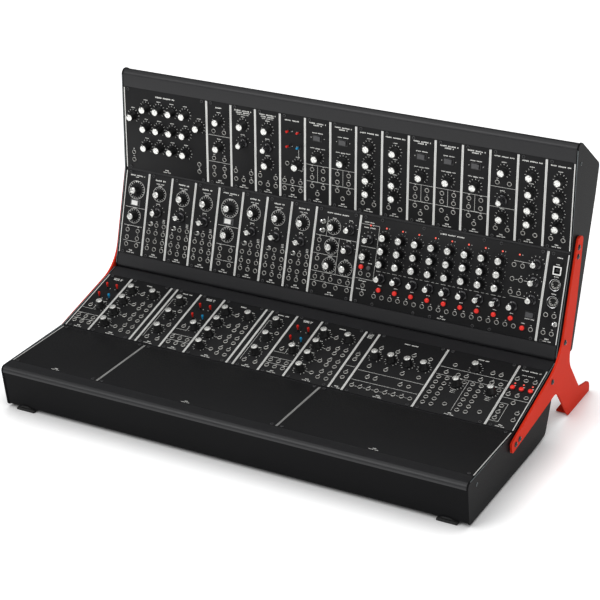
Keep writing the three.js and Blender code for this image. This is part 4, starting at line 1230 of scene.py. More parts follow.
def heads(name, screw, places, sign, x):
    """Screw heads on one side of the cases, at side view places."""
    turn = tuple(Matrix.Rotation(sign * math.pi / 2, 3, "Y").to_euler())
    spots = [Spot(Vector((sign * x, at.x, at.y)), turn) for at in places]
    return copies(name, screw, spots, black_screw)


class SYNTH_OT_cases(bpy.types.Operator):
    """Makes the case walls, the cheeks and the lips"""

    bl_idname = "synthesizer.cases"
    bl_label = "Cases"

    def execute(self, context):
        screw = lathe("cheek_screw", CHEEK_SCREW, 18)
        for case, (bend, angle, rear_corner) in CASES.items():
            outline = case_outline(rear_corner)
            for part, (shape, coat, slot_name) in self.shapes(outline).items():
                self.wide_piece(f"{case}_{part}", placed(shape, bend, angle), coat, slot_name)
            end = end_bore(on_front_row if case == "lower" else on_rear_row)
            bore = turned(end, angle) + bend
            for word, sign in SIDES:
                self.cheek(f"{case}_{word}_cheek", placed(outline, bend, angle), sign, bore, screw)
        bpy.data.objects.remove(screw)
        return {"FINISHED"}

    def shapes(self, outline):
        """Side views of the tray and the lip rails, with their finish and slot."""
        sizes = case_sizes()
        reach = PANEL_EDGE + sizes.clearance
        tray = pressed(inset(outline, sizes.recess), sizes.seam + sizes.clearance)
        front = clipped(outline, on_front_row(reach, 0), side(1, 0))
        front = clipped(front, side(0, -sizes.seam), side(0, -1))
        rear = clipped(outline, on_rear_row(reach, 0), turned(side(-1, 0), ROW_TILT))
        rear = clipped(rear, on_rear_row(0, -sizes.seam), turned(side(0, -1), ROW_TILT))
        return {
            "case_tray": (tray, powder_coated_steel, "powder_coated_steel"),
            "front_rail": (front, coated_rail, "rail_aluminium"),
            "rear_rail": (rear, coated_rail, "rail_aluminium"),
        }

    def wide_piece(self, name, outline, coat, slot_name):
        """A piece that runs the whole width between the cheeks."""
        half = HALF_ROW + case_sizes().clearance / 3
        work = bmesh.new()
        slab(work, outline, -half, half)
        piece = new_object(name + "_dressed", mesh_from(name, work, 25))
        piece.data.materials.append(finish(coat))
        dress(piece, STATIC, slot_name, name)

    def cheek(self, name, outline, sign, bore, screw):
        """An end cheek with a rounded outer edge that carries a painted highlight, and the screw in its free
        bore.
        """
        inner, outer = cheek_faces()
        least, most = HIGHLIGHT_SHARES
        work = bmesh.new()
        rim = slab(work, outline, sign * inner, sign * outer)
        # Sideways-facing faces of the rounding take the second finish, which is a painted highlight
        for face in round_edges(work, rim_edges(rim), case_sizes().cheek_edge, 5)["faces"]:
            face.normal_update()
            face.material_index = int(least < abs(face.normal.x) < most)
        sheet = new_object(name + "_sheet", mesh_from(name, work, 25))
        sheet.data.materials.append(finish(powder_coated_steel))
        sheet.data.materials.append(finish(painted_edge_highlight))
        head = heads(name + "_screw", screw, [bore], sign, outer)
        dress(join(name + "_dressed", [sheet, head]), STATIC, "powder_coated_steel", name)


class SYNTH_OT_carried(bpy.types.Operator):
    """Gives the CAD pieces that stay their finishes"""

    bl_idname = "synthesizer.carried"
    bl_label = "Middle rails, feet and boards"

    def execute(self, context):
        coats = {
            coated_rail: ("lower_middle_rail", "upper_middle_rail"),
            solder_mask: ("lower_power_board", "upper_power_board"),
            foot_rubber: ("front_left_foot", "front_right_foot", "rear_left_foot", "rear_right_foot"),
        }
        for coat, names in coats.items():
            for name in names:
                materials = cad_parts[name].data.materials
                materials.clear()
                materials.append(finish(coat))
        return {"FINISHED"}


# Corners of a bracket: foot and lower arm as shares of the case's reach and of its depth over the
# floor with the radius in millimetres, upper arm in the upper case's side view as shares of the reach
LOWER_CORNERS = {
    "arm_bottom": (-0.097, -0.353, 4),
    "notch": (0.943, -0.089, 22),
    "toe": (1.295, -1, 4),
    "heel": (1.848, -1, 1.5),
    "toe_top": (1.843, -0.744, 14),
    "knee": (1.55, -0.6, 14),
    "waist": (1.217, 0.311, 35),
}
ARM_BACK = (-0.445, -0.253)
ARM_TIP = (0.153, -0.164)
ARM_PAST_BEND = 0.129
BELOW_ROW = 2 * MM
BEHIND_ROW = 4.5 * MM


def on_upper_case(point):
    """A point of the upper case's own side view, put where that case stands."""
    return turned(point, CASE_TURN) + UPPER_BEND


def meeting(a, b, c, d):
    """Where the line through a and b meets the line through c and d."""
    first, second = b - a, d - c
    apart = c - a
    share = (apart.x * second.y - apart.y * second.x) / (first.x * second.y - first.y * second.x)
    return a + first * share


def bracket_outline():
    """The bracket's side view about the lower bend."""
    reach = PANEL_EDGE + case_sizes().lip
    over_floor = LOWER_BEND.y
    corners = [(side(x * reach, z * over_floor), r * MM) for x, z, r in LOWER_CORNERS.values()]
    back, tip, arm_end, arm_top = (
        on_upper_case(point) - LOWER_BEND
        for point in (
            side(ARM_BACK[0] * reach, ARM_BACK[1] * reach),
            side(ARM_TIP[0] * reach, ARM_TIP[1] * reach),
            side(ARM_TIP[0] * reach, -BEHIND_ROW),
            on_front_row(reach, -BEHIND_ROW),
        )
    )
    arm_start = on_rear_row(-ARM_PAST_BEND * reach, -BELOW_ROW)
    crook = meeting(arm_start, on_rear_row(reach, -BELOW_ROW), arm_top, arm_end)
    corners += [(back, 35 * MM), (tip, 8 * MM), (arm_end, 8 * MM), (crook, 60 * MM), (arm_start, 4 * MM)]
    return rounded(corners)


def bracket_screws():
    """The side view places of the six bracket screws."""
    middle = [on_row(MIDDLE_BORE[0], -MIDDLE_BORE[1]) for on_row in (on_front_row, on_rear_row)]
    lower = [point + LOWER_BEND for point in middle + [end_bore(on_rear_row)]]
    return lower + [on_upper_case(point) for point in middle + [end_bore(on_front_row)]]


class SYNTH_OT_brackets(bpy.types.Operator):
    """Makes the folded side brackets and their screws"""

    bl_idname = "synthesizer.brackets"
    bl_label = "Brackets"

    def execute(self, context):
        sizes = bracket_sizes()
        inner = cheek_faces()[1] + sizes.standoff
        outer = inner + sizes.thickness
        r = sizes.screw / MM
        dome = [(0, 0), (r, 0), (r, 0.5), (r - 0.5, 1.35), (r - 1.6, 1.9)]
        socket = [(r - 2.5, 2.0), (r - 2.6, 1.2), (0, 1.2)]
        screw = lathe("bracket_screw", dome + socket, 18)
        for word, sign in SIDES:
            name = f"{word}_bracket"
            parts = [
                self.plate(name, sign, inner, outer),
                heads(name + "_screws", screw, bracket_screws(), sign, outer),
            ]
            dress(join(name + "_dressed", parts), STATIC, "bracket_red", name)
        bpy.data.objects.remove(screw)
        return {"FINISHED"}

    def plate(self, name, sign, inner, outer):
        """A bracket's sheet with the flange that is folded in along the floor."""
        sizes = bracket_sizes()
        reach = PANEL_EDGE + case_sizes().lip
        corner = LOWER_CORNERS["toe"][2] * MM
        toe = LOWER_BEND.x + LOWER_CORNERS["toe"][0] * reach + corner
        heel = LOWER_BEND.x + LOWER_CORNERS["heel"][0] * reach - corner
        work = bmesh.new()
        rim = slab(work, placed(bracket_outline(), LOWER_BEND, 0), sign * inner, sign * outer)
        round_edges(work, rim_edges(rim), sizes.edge, 2)
        low, high = sorted((sign * (inner - sizes.flange), sign * (outer - sizes.edge)))
        block(work, (low, toe, 0), (high, heel, sizes.thickness), radius=sizes.edge)
        # The rounding leaves its faces in another order each run, so they are put in one
        work.verts.index_update()
        in_order = sorted(work.faces, key=lambda face: [vert.index for vert in face.verts])
        for number, face in enumerate(in_order):
            face.index = number
        work.faces.sort()
        plate = new_object(name + "_plate", mesh_from(name, work, 30))
        plate.data.materials.append(finish(bracket_enamel))
        return plate


class SYNTH_OT_panels(bpy.types.Operator):
    """Makes the front panels, with open recesses for the round and square plugs"""

    bl_idname = "synthesizer.panels"
    bl_label = "Panels"

    def execute(self, context):
        gap = case_sizes().clearance / 2
        for node in dict.fromkeys(module.node for module in MODULES):
            work = bmesh.new()
            for row, _, _, left, width, _ in (module for module in MODULES if module.node == node):
                low = (left + gap, 0, -PANEL_THICKNESS)
                high = (left + width - gap, PANEL_HEIGHT, 0)
                block(work, low, high, row_matrix(row), radius=PANEL_ROUNDING)
            piece = new_object(node + "_panel", mesh_from(node, work, 30))
            piece.data.materials.append(finish(anodised_panel))
            if node == "midi_module":
                self.cut(piece)
            dress(piece, STATIC, "panel_black", node)
        return {"FINISHED"}

    def cut(self, piece):
        """Cuts the plug recesses through a panel."""
        drill = lathe("drill", [(0, -6), (6.6, -6), (6.6, 4), (0, 4)], 32)
        chisel = block_template("chisel", (-4.3, -4, -6), (4.3, 4, 4))
        for kind, tool in (("din", drill), ("usb", chisel)):
            spots = [spot(c.row, c.x, c.v) for c in of_kind(kind)]
            cutter = copies(kind + "_cutter", tool, spots, socket_dark)
            modifier = piece.modifiers.new("Recess", "BOOLEAN")
            modifier.operation = "DIFFERENCE"
            modifier.solver = "EXACT"
            modifier.object = cutter
            evaluated = piece.evaluated_get(bpy.context.evaluated_depsgraph_get())
            mesh = bpy.data.meshes.new_from_object(evaluated)
            piece.modifiers.remove(modifier)
            piece.data = mesh
            bpy.data.objects.remove(cutter)
            bpy.data.objects.remove(tool)
        while len(piece.data.materials) > 1:
            piece.data.materials.pop()


# How far a panel's screws stand in from its ends, and how far its edge strips end short of them
SCREW_IN = 3 * MM
STRIP_SHORT = 1.2 * MM
# The long sequencer panel is screwed down along its whole length, at these shares of its width
SCREW_SHARES = (0.027, 0.12, 0.347, 0.438, 0.668, 0.758, 0.973)


def screw_columns(module):
    """Where the screws of a panel stand across its row."""
    if module.layout == "sequencer":
        return [module.left + share * module.width for share in SCREW_SHARES]
    hole = 1.5 * PITCH if module.width > 3 * PITCH else module.width / 2
    columns = [module.left + hole]
    if module.width >= 12 * PITCH:
        columns.append(module.left + module.width - hole)
    return columns


class SYNTH_OT_edges(bpy.types.Operator):
    """Lays the bare metal edge strips and the panel screws"""

    bl_idname = "synthesizer.edges"
    bl_label = "Panel edges and screws"

    def execute(self, context):
        self.strips()
        self.screws()
        return {"FINISHED"}

    def strips(self):
        """Bright strips at the panels' sides, and dull ones where two blank panels meet."""
        strip = control_sizes().edge_strip
        gap = case_sizes().clearance / 2
        tall = (strip / MM, (PANEL_HEIGHT - 2 * STRIP_SHORT) / MM, 1)
        bright, dull = [], []
        for row, _, _, left, width, _ in MODULES:
            for x in (left + gap + strip / 2, left + width - gap - strip / 2):
                inner = row is ROWS["blank"] and strip < x < 2 * HALF_ROW - strip
                (dull if inner else bright).append(spot(row, x, PANEL_HEIGHT / 2, size=tall))
        edge = block_template("edge_strip", (-0.5, -0.5, 0.02), (0.5, 0.5, 0.22))
        dress(copies("panel_edge_strips", edge, bright, cut_edge), STATIC, "panel_black")
        dress(copies("blank_edge_strips", edge, dull, worn_edge), STATIC, "panel_black")
        bpy.data.objects.remove(edge)

    def screws(self):
        """Dark screw heads, each turned by chance, with a grey ring on the rim that is a painted glint."""
        spots = []
        for module in MODULES:
            for x in screw_columns(module):
                for v in (SCREW_IN, PANEL_HEIGHT - SCREW_IN):
                    spin = random.Random(round(x / MM + v / MM)).uniform(0, 3)
                    spots.append(spot(module.row, x, v, spin=spin))
        head = [(0, 0), (2.7, 0), (2.7, 0.35), (2.3, 0.75), (1.7, 0.95), (0, 0.6)]
        # The rim ring in grey plastic is a painted glint, standing for light caught on the screw's rim
        rim = [(1.7, 0.9), (1.8, 1.1), (2.2, 1.0), (2.35, 0.7)]
        parts = [
            (lathe("panel_screw", head, 12), socket_dark),
            (lathe("panel_screw_rim", rim, 12, closed=True), grey_plastic_and_glint),
        ]
        dress(copies_of_parts("panel_screws", parts, spots), STATIC, "panel_black")
        clear_templates(parts)


# Degrees that the knobs may stand at
KNOB_TURNS = (-120, -60, -30, 0, 0, 20, 45, 90)


class SYNTH_OT_knobs(bpy.types.Operator):
    """Makes the knobs with their spun caps"""

    bl_idname = "synthesizer.knobs"
    bl_label = "Knobs"

    def execute(self, context):
        sizes = control_sizes()
        radius, top = sizes.knob / MM, sizes.knob_height / MM
        body = [
            (0, 0.3),
            (radius - 0.3, 0.3),
            (radius, 0.6),
            (radius, 1.7),
            (radius - 0.6, 2.4),
            (radius - 0.8, top - 0.9),
            (radius - 1.1, top - 0.5),
            (0, top - 0.5),
        ]
        cap, rim = sizes.knob_cap / MM, top - 0.3
        face = [(0, top - 0.5), (cap, top - 0.5), (cap, rim), (cap - 0.4, top - 0.1, 0.2), (0, rim)]
        parts = [
            (lathe("knob_body", body, 20), moulded_black),
            (lathe("knob_cap", face, 24), spun_aluminium),
            (block_template("knob_line", (-0.25, 2.4, top - 0.5), (0.25, cap, top + 0.1)), moulded_black),
        ]
        chance = random.Random(7)
        spins = {(c.x, c.v): math.radians(chance.choice(KNOB_TURNS)) for c in CONTROLS}
        place_kind("knobs", of_kind("knob"), parts, "knob_black", lambda c: {"spin": spins[(c.x, c.v)]})
        clear_templates(parts)
        return {"FINISHED"}


# Degrees that the range selectors of each layout may stand at
SETTINGS = {
    "low_pass": (-35,),
    "high_pass": (0, 20),
    "delay": (25,),
    "oscillator": (80,),
    "coupler": (-45, 40),
    "sequencer": (-40, 10, 15, 20),
}


class SYNTH_OT_selectors(bpy.types.Operator):
    """Makes the range selectors with their glossy discs and pointers"""

    bl_idname = "synthesizer.selectors"
    bl_label = "Selectors"

    def execute(self, context):
        parts = self.parts()
        top = control_sizes().selector_height / MM
        chance = random.Random(3)
        spins = {(c.x, c.v): math.radians(chance.choice(SETTINGS[c.layout])) for c in of_kind("selector")}
        turn = lambda c: {"spin": 0.0 if c.node else spins[(c.x, c.v)]}
        barred = lambda c: c.layout == "oscillator"
        place_kind("selectors", of_kind("selector", lambda c: not barred(c)), parts, "knob_black", turn)
        bar = block_template("selector_bar", (-0.7, -5.4, top - 3.4), (0.7, -3.0, top - 1.2), radius=0.3)
        parts.append((bar, spun_aluminium))
        place_kind("barred_selectors", of_kind("selector", barred), parts, "knob_black", turn)
        clear_templates(parts)
        return {"FINISHED"}

    def parts(self):
        """A disc with a tall cap, and the wing, the printed line and the nose that point."""
        sizes = control_sizes()
        radius, top = sizes.selector / MM, sizes.selector_height / MM
        disc = [
            (0, 0.3),
            (radius - 0.4, 0.3),
            (radius, 0.7),
            (radius, 2.7),
            (radius - 0.5, 3.2),
            (5.6, 3.6),
            (5.2, 5.0),
            (4.3, top - 1.4),
            (3.9, top - 1.0),
            (0, top - 1.0),
        ]
        cap, rim = sizes.selector_cap / MM, top - 0.3
        face = [(0, top - 1.0), (cap, top - 1.0), (cap, rim), (cap - 0.3, top - 0.1, 0.15), (0, rim)]
        pointers = (
            ("selector_wing", (-0.9, 3.0, 2.6), (0.9, radius - 0.5, 5.4), 0.3, glossy_black),
            ("selector_line", (-0.3, 3.6, 5.35), (0.3, radius - 0.7, 5.5), 0.0, screen_ink),
            ("selector_nose", (-0.45, 3.0, top - 3.2), (0.45, 5.6, top - 0.8), 0.2, spun_aluminium),
        )
        parts = [
            (lathe("selector_disc", disc, 24), glossy_black),
            (lathe("selector_cap", face, 24), spun_aluminium),
        ]
        parts += [(block_template(name, low, high, edge), coat) for name, low, high, edge, coat in pointers]
        return parts


class SYNTH_OT_sockets(bpy.types.Operator):
    """Makes the patch sockets, the round sockets and the square one"""

    bl_idname = "synthesizer.sockets"
    bl_label = "Sockets"

    def execute(self, context):
        for name, kind, parts in (
            ("patch_sockets", "jack", self.patch_socket()),
            ("round_sockets", "din", self.round_socket()),
            ("square_socket", "usb", self.square_socket()),
        ):
            place_kind(name, of_kind(kind), parts, "panel_black")
            clear_templates(parts)
        return {"FINISHED"}

    def patch_socket(self):
        """A nickel ring over a black washer, round a hole closed by a flat black disc of painted shade."""
        outer, washer = control_sizes().jack / MM, control_sizes().washer / MM
        hole, rest = outer - 0.8, outer - 0.1
        ring = [(hole, 0.2), (hole, 0.8), (hole + 0.25, 1.0), (outer - 0.3, 0.9), (outer, 0.5), (outer, 0.2)]
        under = [(rest, 0.02), (rest, 0.35), (washer - 0.2, 0.35), (washer, 0.02)]
        # A black disc just over the panel fills the hole: painted shade for the socket's unlit depth
        hole_shade = [(0, 0.05), (hole + 0.05, 0.05), (hole + 0.05, 0.25), (0, 0.25)]
        return [
            (lathe("jack_ring", ring, 14, closed=True), plated_nickel),
            (lathe("jack_washer", under, 14, closed=True), socket_dark),
            (lathe("jack_well", hole_shade, 14), socket_dark),
        ]

    def round_socket(self):
        """A chrome rim and a black collar over a sunk shell with five pins."""
        rim = [(7.7, 0.02), (7.7, 0.9), (8.0, 1.1), (8.3, 1.1), (8.5, 0.8), (8.5, 0.02)]
        collar = [(6.7, -1.9), (6.7, 0.3), (7.0, 0.6), (7.6, 0.6), (7.6, 0.02), (6.9, -1.9)]
        shell = [(5.4, -7.4), (5.4, -1.2), (6.0, -1.2), (6.0, -7.4)]
        floor = [(0, -7.6), (6.5, -7.6), (6.5, -3.5), (0, -3.5)]
        return [
            (lathe("din_rim", rim, 32, closed=True), polished_chrome),
            (lathe("din_collar", collar, 32, closed=True), moulded_black),
            (lathe("din_shell", shell, 24, closed=True), plated_nickel),
            (lathe("din_floor", floor, 32), socket_dark),
            (self.pins(), plated_nickel),
        ]

    def square_socket(self):
        """A white surround and a black tongue over a sunk floor."""
        return [
            (border("usb_surround", 6, 6, 1.6, 0.8), white_plastic),
            (block_template("usb_floor", (-4.2, -3.9, -7.6), (4.2, 3.9, -5.0)), socket_dark),
            (block_template("usb_tongue", (-2.6, -1.6, -5.0), (2.6, 1.6, -0.6), radius=0.3), moulded_black),
        ]

    def pins(self):
        """Five pins on an arc in a round socket."""
        arc, half, low, high = 4.2, 0.7, -3.5, -1.2
        work = bmesh.new()
        for degrees in (-90, -45, 0, 45, 90):
            angle = math.radians(degrees)
            x, y = arc * math.sin(angle), -arc * math.cos(angle)
            block(work, Vector((x - half, y - half, low)) * MM, Vector((x + half, y + half, high)) * MM)
        return new_object("din_pins", mesh_from("din_pins", work, 40))


# Levers and rockers turn about a line under the panel's face, in millimetres, and rest on one side
LEVER_PIVOT = -1.2
ROCKER_PIVOT = -0.5
REST_LEAN = math.radians(-8)
# Layouts whose levers end in a ball
BALLED = ("coupler", "midi")


def coloured(control):
    """A lever with a red or blue cap."""
    return control.layout in ("patch", "channel")


class SYNTH_OT_switches(bpy.types.Operator):
    """Makes the lever switches and the rockers"""

    bl_idname = "synthesizer.switches"
    bl_label = "Switches"

    def execute(self, context):
        self.levers()
        self.nuts()
        self.rockers()
        self.bezels()
        return {"FINISHED"}

    def levers(self):
        """The levers of each look, with a black foot under the coloured caps."""
        top = control_sizes().toggle_height / MM
        cap = [(0, 3.2), (1.2, 3.2), (1.35, 5.6), (1.8, 6.2), (1.8, top - 0.7), (1.3, top), (0, top)]
        foot = [(0, 0.5), (1.0, 0.5), (1.0, 3.2), (0, 3.2)]
        stick = [(0, 0.5), (1.0, 0.5), (1.1, 3.6), (1.7, 4.0), (1.6, top - 0.7), (1.2, top), (0, top)]
        neck = [(0, 0.5), (0.8, 0.5), (1.1, 4.5)]
        ball = neck + [(2.0, top - 4), (2.4, top - 2.4), (1.9, top - 0.6), (0, top)]
        capped = lambda coat: [(cap, coat), (foot, moulded_black)]
        looks = (
            ("red_switches", capped(red_plastic), "cap_red", lambda c: coloured(c) and c.index != 3),
            ("blue_switches", capped(blue_plastic), "cap_blue", lambda c: coloured(c) and c.index == 3),
            ("black_switches", [(stick, moulded_black)], "lever_chrome", lambda c: c.layout == "oscillator"),
            ("chrome_switches", [(ball, polished_chrome)], "lever_chrome", lambda c: c.layout in BALLED),
        )
        lean = {"lean": REST_LEAN, "height": LEVER_PIVOT * MM}
        for name, shapes, slot_name, keep in looks:
            profiles = [([(r, h - LEVER_PIVOT) for r, h in shape], coat) for shape, coat in shapes]
            parts = [(lathe("lever", profile, 12), coat) for profile, coat in profiles]
            place_kind(name, of_kind("toggle", keep), parts, slot_name, lambda c: lean)
            clear_templates(parts)

    def nuts(self):
        """The collars that the levers stand in."""
        low = [(1.75, 0.05), (1.75, 0.6), (2.1, 0.8), (2.7, 0.8), (3.0, 0.4), (3.0, 0.02)]
        tall = [(1.75, 0.05), (1.75, 4.2), (2.3, 4.4), (2.9, 3.6), (2.9, 0.9), (3.4, 0.7), (3.4, 0.02)]
        for name, profile, coat, keep in (
            ("dark_nuts", low, moulded_black, coloured),
            ("plated_nuts", tall, spun_aluminium, lambda c: not coloured(c)),
        ):
            nut = lathe("nut", profile, 12, closed=True)
            fixed_copies(name, nut, of_kind("toggle", keep), coat, "lever_chrome")

    def rockers(self):
        """Paddles that tilt across the panel."""
        half, half_height = 5.6, 3.4
        profile = [(-half, 2.8), (-half, 0.9), (half, 0.9), (half, 2.8), (0, 1.9)]
        work = bmesh.new()
        low, high = (
            [work.verts.new(Vector((x, y, z - ROCKER_PIVOT)) * MM) for x, z in profile]
            for y in (-half_height, half_height)
        )
        work.faces.new(low)
        work.faces.new(high)
        for index in range(len(profile)):
            after = (index + 1) % len(profile)
            work.faces.new((low[index], low[after], high[after], high[index]))
        paddle = new_object("paddle", mesh_from("paddle", work, 20))
        lean = {"lean_across": REST_LEAN, "height": ROCKER_PIVOT * MM}
        for name, coat, slot_name, keep in (
            ("white_rockers", white_plastic, "cap_white", lambda c: c.layout == "driver"),
            ("dark_rockers", grey_plastic_and_glint, "knob_black", lambda c: c.layout != "driver"),
        ):
            place_kind(name, of_kind("rocker", keep), [(paddle, coat)], slot_name, lambda c: lean)
        bpy.data.objects.remove(paddle)

    def bezels(self):
        """Flat frames round the rockers, wider on the drivers."""
        for name, reach, coat, keep in (
            ("wide_bezels", 8.4, grey_plastic_and_glint, lambda c: c.layout == "driver"),
            ("rocker_bezels", 7.3, moulded_black, lambda c: c.layout != "driver"),
        ):
            bezel = border("bezel", reach, 4.9, reach - 6.2, 0.9)
            fixed_copies(name, bezel, of_kind("rocker", keep), coat, "knob_black")


class SYNTH_OT_buttons(bpy.types.Operator):
    """Makes the push buttons and the lamps"""

    bl_idname = "synthesizer.buttons"
    bl_label = "Buttons and lamps"

    def execute(self, context):
        radius = control_sizes().button / MM
        rim = [(radius, 1.55), (radius, 3.3), (radius - 0.4, 3.8), (radius - 1.2, 4.0)]
        dome = [(0, 1.55), *rim, (0, 4.1)]
        dark = lambda c: c.layout == "sequencer" and c.index == 11
        for name, coat, slot_name, keep in (
            ("red_buttons", button_acrylic, "cap_red", lambda c: not dark(c)),
            ("dark_button", grey_plastic_and_glint, "knob_black", dark),
        ):
            parts = [(lathe("button_dome", dome, 20), coat)]
            place_kind(name, of_kind("button", keep), parts, slot_name)
            clear_templates(parts)
        inner, outer = radius + 0.15, radius + 0.75
        rim = [(inner, 0.05), (inner, 0.9), (outer - 0.2, 0.9), (outer, 0.7), (outer, 0.02)]
        collar = lathe("button_collar", rim, 20, closed=True)
        fixed_copies("button_collars", collar, of_kind("button"), moulded_black, "knob_black")
        bead = control_sizes().lamp / MM
        lamp = lathe("lamp", [(0, 0.02), (bead, 0.02), (bead, 0.5), (bead - 0.4, 1.0), (0, 1.2)], 12)
        fixed_copies("lamps", lamp, of_kind("lamp"), lit_lamp, "cap_red")
        return {"FINISHED"}


# How far over each kind of control its legend stands, in millimetres, and the bars in it
OVER = {
    "jack": (5.5, 1),
    "button": (6.4, 4),
    "selector": (13, 6),
    "knob": (12.6, 5),
    "din": (11, 5),
    "usb": (8.4, 4),
}
# The two lines at a panel's foot, as (height in millimetres, bars, share of a letter's height, seed)
FOOT_LINES = ((6.4, 3, 1.2, 500), (3.3, 10, 0.85, 700))
# Heights of the titles and of the legends over controls, and the space between two letters
TITLE_SHARE = 1.15
LEGEND_SHARE = 0.85
SPACE_SHARE = 0.26


def tuning(control):
    """The large double dial of a driver."""
    return control.kind == "knob" and control.layout == "driver" and control.index == 0


def ringed(control):
    """A knob with a printed ring round it."""
    return control.kind == "knob" and control.layout in ("driver", "oscillator", "coupler")


def single_ring(control):
    """A knob with one printed ring round it."""
    return ringed(control) and not tuning(control)


def has_legend(number, control):
    """Whether a legend stands over a control; every fourth patch socket and the densest places have none."""
    if control.kind not in OVER or (control.kind == "jack" and number % 4 == 0):
        return False
    if control.layout == "sequencer" and control.kind in ("knob", "selector"):
        return False
    return not (control.layout == "interface" and control.kind == "jack" and control.index > 8)


def legend(row, x, v, letters, height, seed):
    """A run of plain upright blocks that stands for a legend, with a gap here and there."""
    chance = random.Random(seed)
    widths = [height * chance.uniform(0.5, 0.85) for letter in range(letters)]
    space = height * SPACE_SHARE
    at = x - (sum(widths) + space * (letters - 1)) / 2
    spots = []
    for number, wide in enumerate(widths):
        tall = height * chance.uniform(0.65, 1.0)
        rise = (height - tall) * chance.uniform(-0.5, 0.5)
        if number % 7 != 5:
            spots.append(spot(row, at + wide / 2, v + rise, size=(wide / MM, tall / MM, 1)))
        at += wide + space
    return spots


class SYNTH_OT_prints(bpy.types.Operator):
    """Prints the rules, the dial ticks, the rings and the plain legends"""

    bl_idname = "synthesizer.prints"
    bl_label = "Printed marks"

    def execute(self, context):
        sizes = print_sizes()
        ink = sizes.ink / MM
        mark = block_template("mark", (-0.5, -0.5, 0), (0.5, 0.5, ink))
        dot = lathe("dot", [(0, 0), (0.6, 0), (0.6, ink), (0, ink)], 8)
        marks = self.rules(sizes) + self.panel_words(sizes) + self.control_words(sizes)
        bars = copies("bars", mark, marks, screen_ink)
        dots = copies("dots", dot, self.dots(), screen_ink)
        dress(join("printed_marks", [bars, dots]), STATIC, "panel_black")
        bpy.data.objects.remove(mark)
        bpy.data.objects.remove(dot)
        self.dials(sizes)
        self.rings(sizes)
        return {"FINISHED"}

    def rules(self, sizes):
        """Thin lines between the groups of controls."""
        spots = []
        for row, _, _, left, width, layout in MODULES:
            for (x0, v0), (x1, v1) in RULES.get(layout, []):
                long_x = max((x1 - x0) * width, sizes.line) / MM
                long_v = max((v1 - v0) * PANEL_HEIGHT, sizes.line) / MM
                x, v = left + (x0 + x1) / 2 * width, (v0 + v1) / 2 * PANEL_HEIGHT
                spots.append(spot(row, x, v, size=(long_x, long_v, 1)))
        return spots

    def panel_words(self, sizes):
        """The titles and the two lines at the foot of each panel."""
        spots = []
        for number, (row, _, _, left, width, layout) in enumerate(MODULES):
            for line, (x, v, letters, height) in enumerate(TITLES.get(layout, [])):
                at, tall = left + x * width, TITLE_SHARE * height * MM
                spots += legend(row, at, v * PANEL_HEIGHT, letters, tall, 10 * number + line)
            if width > 3 * PITCH:
                for rise, letters, share, seed in FOOT_LINES:
                    tall = share * sizes.letter
                    spots += legend(row, left + width / 2, rise * MM, letters, tall, seed + number)
        return spots

    def control_words(self, sizes):
        """A legend over each control, or a single bar over a patch socket."""
        spots = []
        for number, control in enumerate(CONTROLS):
            if not has_legend(number, control):
                continue
            rise, letters = OVER[control.kind]
            v = control.v + rise * MM
            if control.kind == "jack":
                wide = random.Random(number).uniform(1.4, 3)
                spots.append(spot(control.row, control.x, v, size=(wide, 0.8, 1)))
            else:
                tall = LEGEND_SHARE * sizes.letter
                spots += legend(control.row, control.x, v, letters, tall, number)
        return spots

    def dots(self):
        """Round dots beside the stage lamps, the coloured switches and the dark rockers."""
        lamps = of_kind("lamp", lambda c: c.layout == "sequencer")
        spots = [spot(c.row, c.x + 4.2 * MM, c.v) for c in lamps]
        levers = of_kind("toggle", coloured)
        spots += [spot(c.row, c.x + (-4.4 if c.index % 2 else 4.4) * MM, c.v) for c in levers]
        rockers = of_kind("rocker", lambda c: c.layout == "amplifier")
        spots += [spot(c.row, c.x + aside * MM, c.v) for c in rockers for aside in (-10.5, 10.5)]
        return spots

    def dials(self, sizes):
        """Fans of ticks round the knobs."""
        line, tick, ink = sizes.line * 1.2, sizes.tick, sizes.ink
        stage = lambda c: c.layout == "sequencer"
        plain = of_kind("knob", lambda c: not ringed(c) and not stage(c))
        ranged = of_kind("selector", lambda c: not (stage(c) and c.v < 0.4 * PANEL_HEIGHT))
        groups = {
            "knob_ticks": (plain, 11, 290, 9.6 * MM, (line, tick, ink)),
            "stage_ticks": (of_kind("knob", stage), 9, 250, 9.2 * MM, (0.6 * line, 0.7 * tick, ink)),
            "selector_ticks": (ranged, 6, 150, 11.4 * MM, (1.3 * line, 0.6 * tick, ink)),
            "ringed_ticks": (of_kind("knob", single_ring), 15, 330, 9.4 * MM, (line, tick, ink)),
            "tuning_ticks": (of_kind("knob", tuning), 20, 342, 12.2 * MM, (line, 1.3 * tick, ink)),
        }
        for name, (controls, count, sweep, radius, size) in groups.items():
            spots = [spot(c.row, c.x, c.v, height=ink / 2) for c in controls]
            dress(ticks(name, spots, count, sweep, radius, size), STATIC, "panel_black")

    def rings(self, sizes):
        """The rings round the tuning dials and round the other ringed knobs."""
        width, ink = sizes.line / MM, sizes.ink / MM
        for name, radius, keep in (
            ("printed_rings", 11, single_ring),
            ("outer_rings", 13.8, tuning),
        ):
            ring = [(radius, 0), (radius, ink), (radius + width, ink), (radius + width, 0)]
            template = lathe("ring", ring, 40, closed=True)
            fixed_copies(name, template, of_kind("knob", keep), screen_ink, "panel_black")


# Half the width of the square floor
FLOOR_REACH = 6.0
# The studio lights as (name, place, width, watts), all in metres and aimed at the synthesizer's middle
LIGHTS = (
    ("overhead_light", (0, -0.8, 3.2), 5.0, 100),
    ("front_light", (-1.6, -3.2, 2.4), 2.0, 55),
    ("side_light", (3.0, -0.3, 1.5), 1.6, 8),
)
AIM = (0, 0, 0.15)


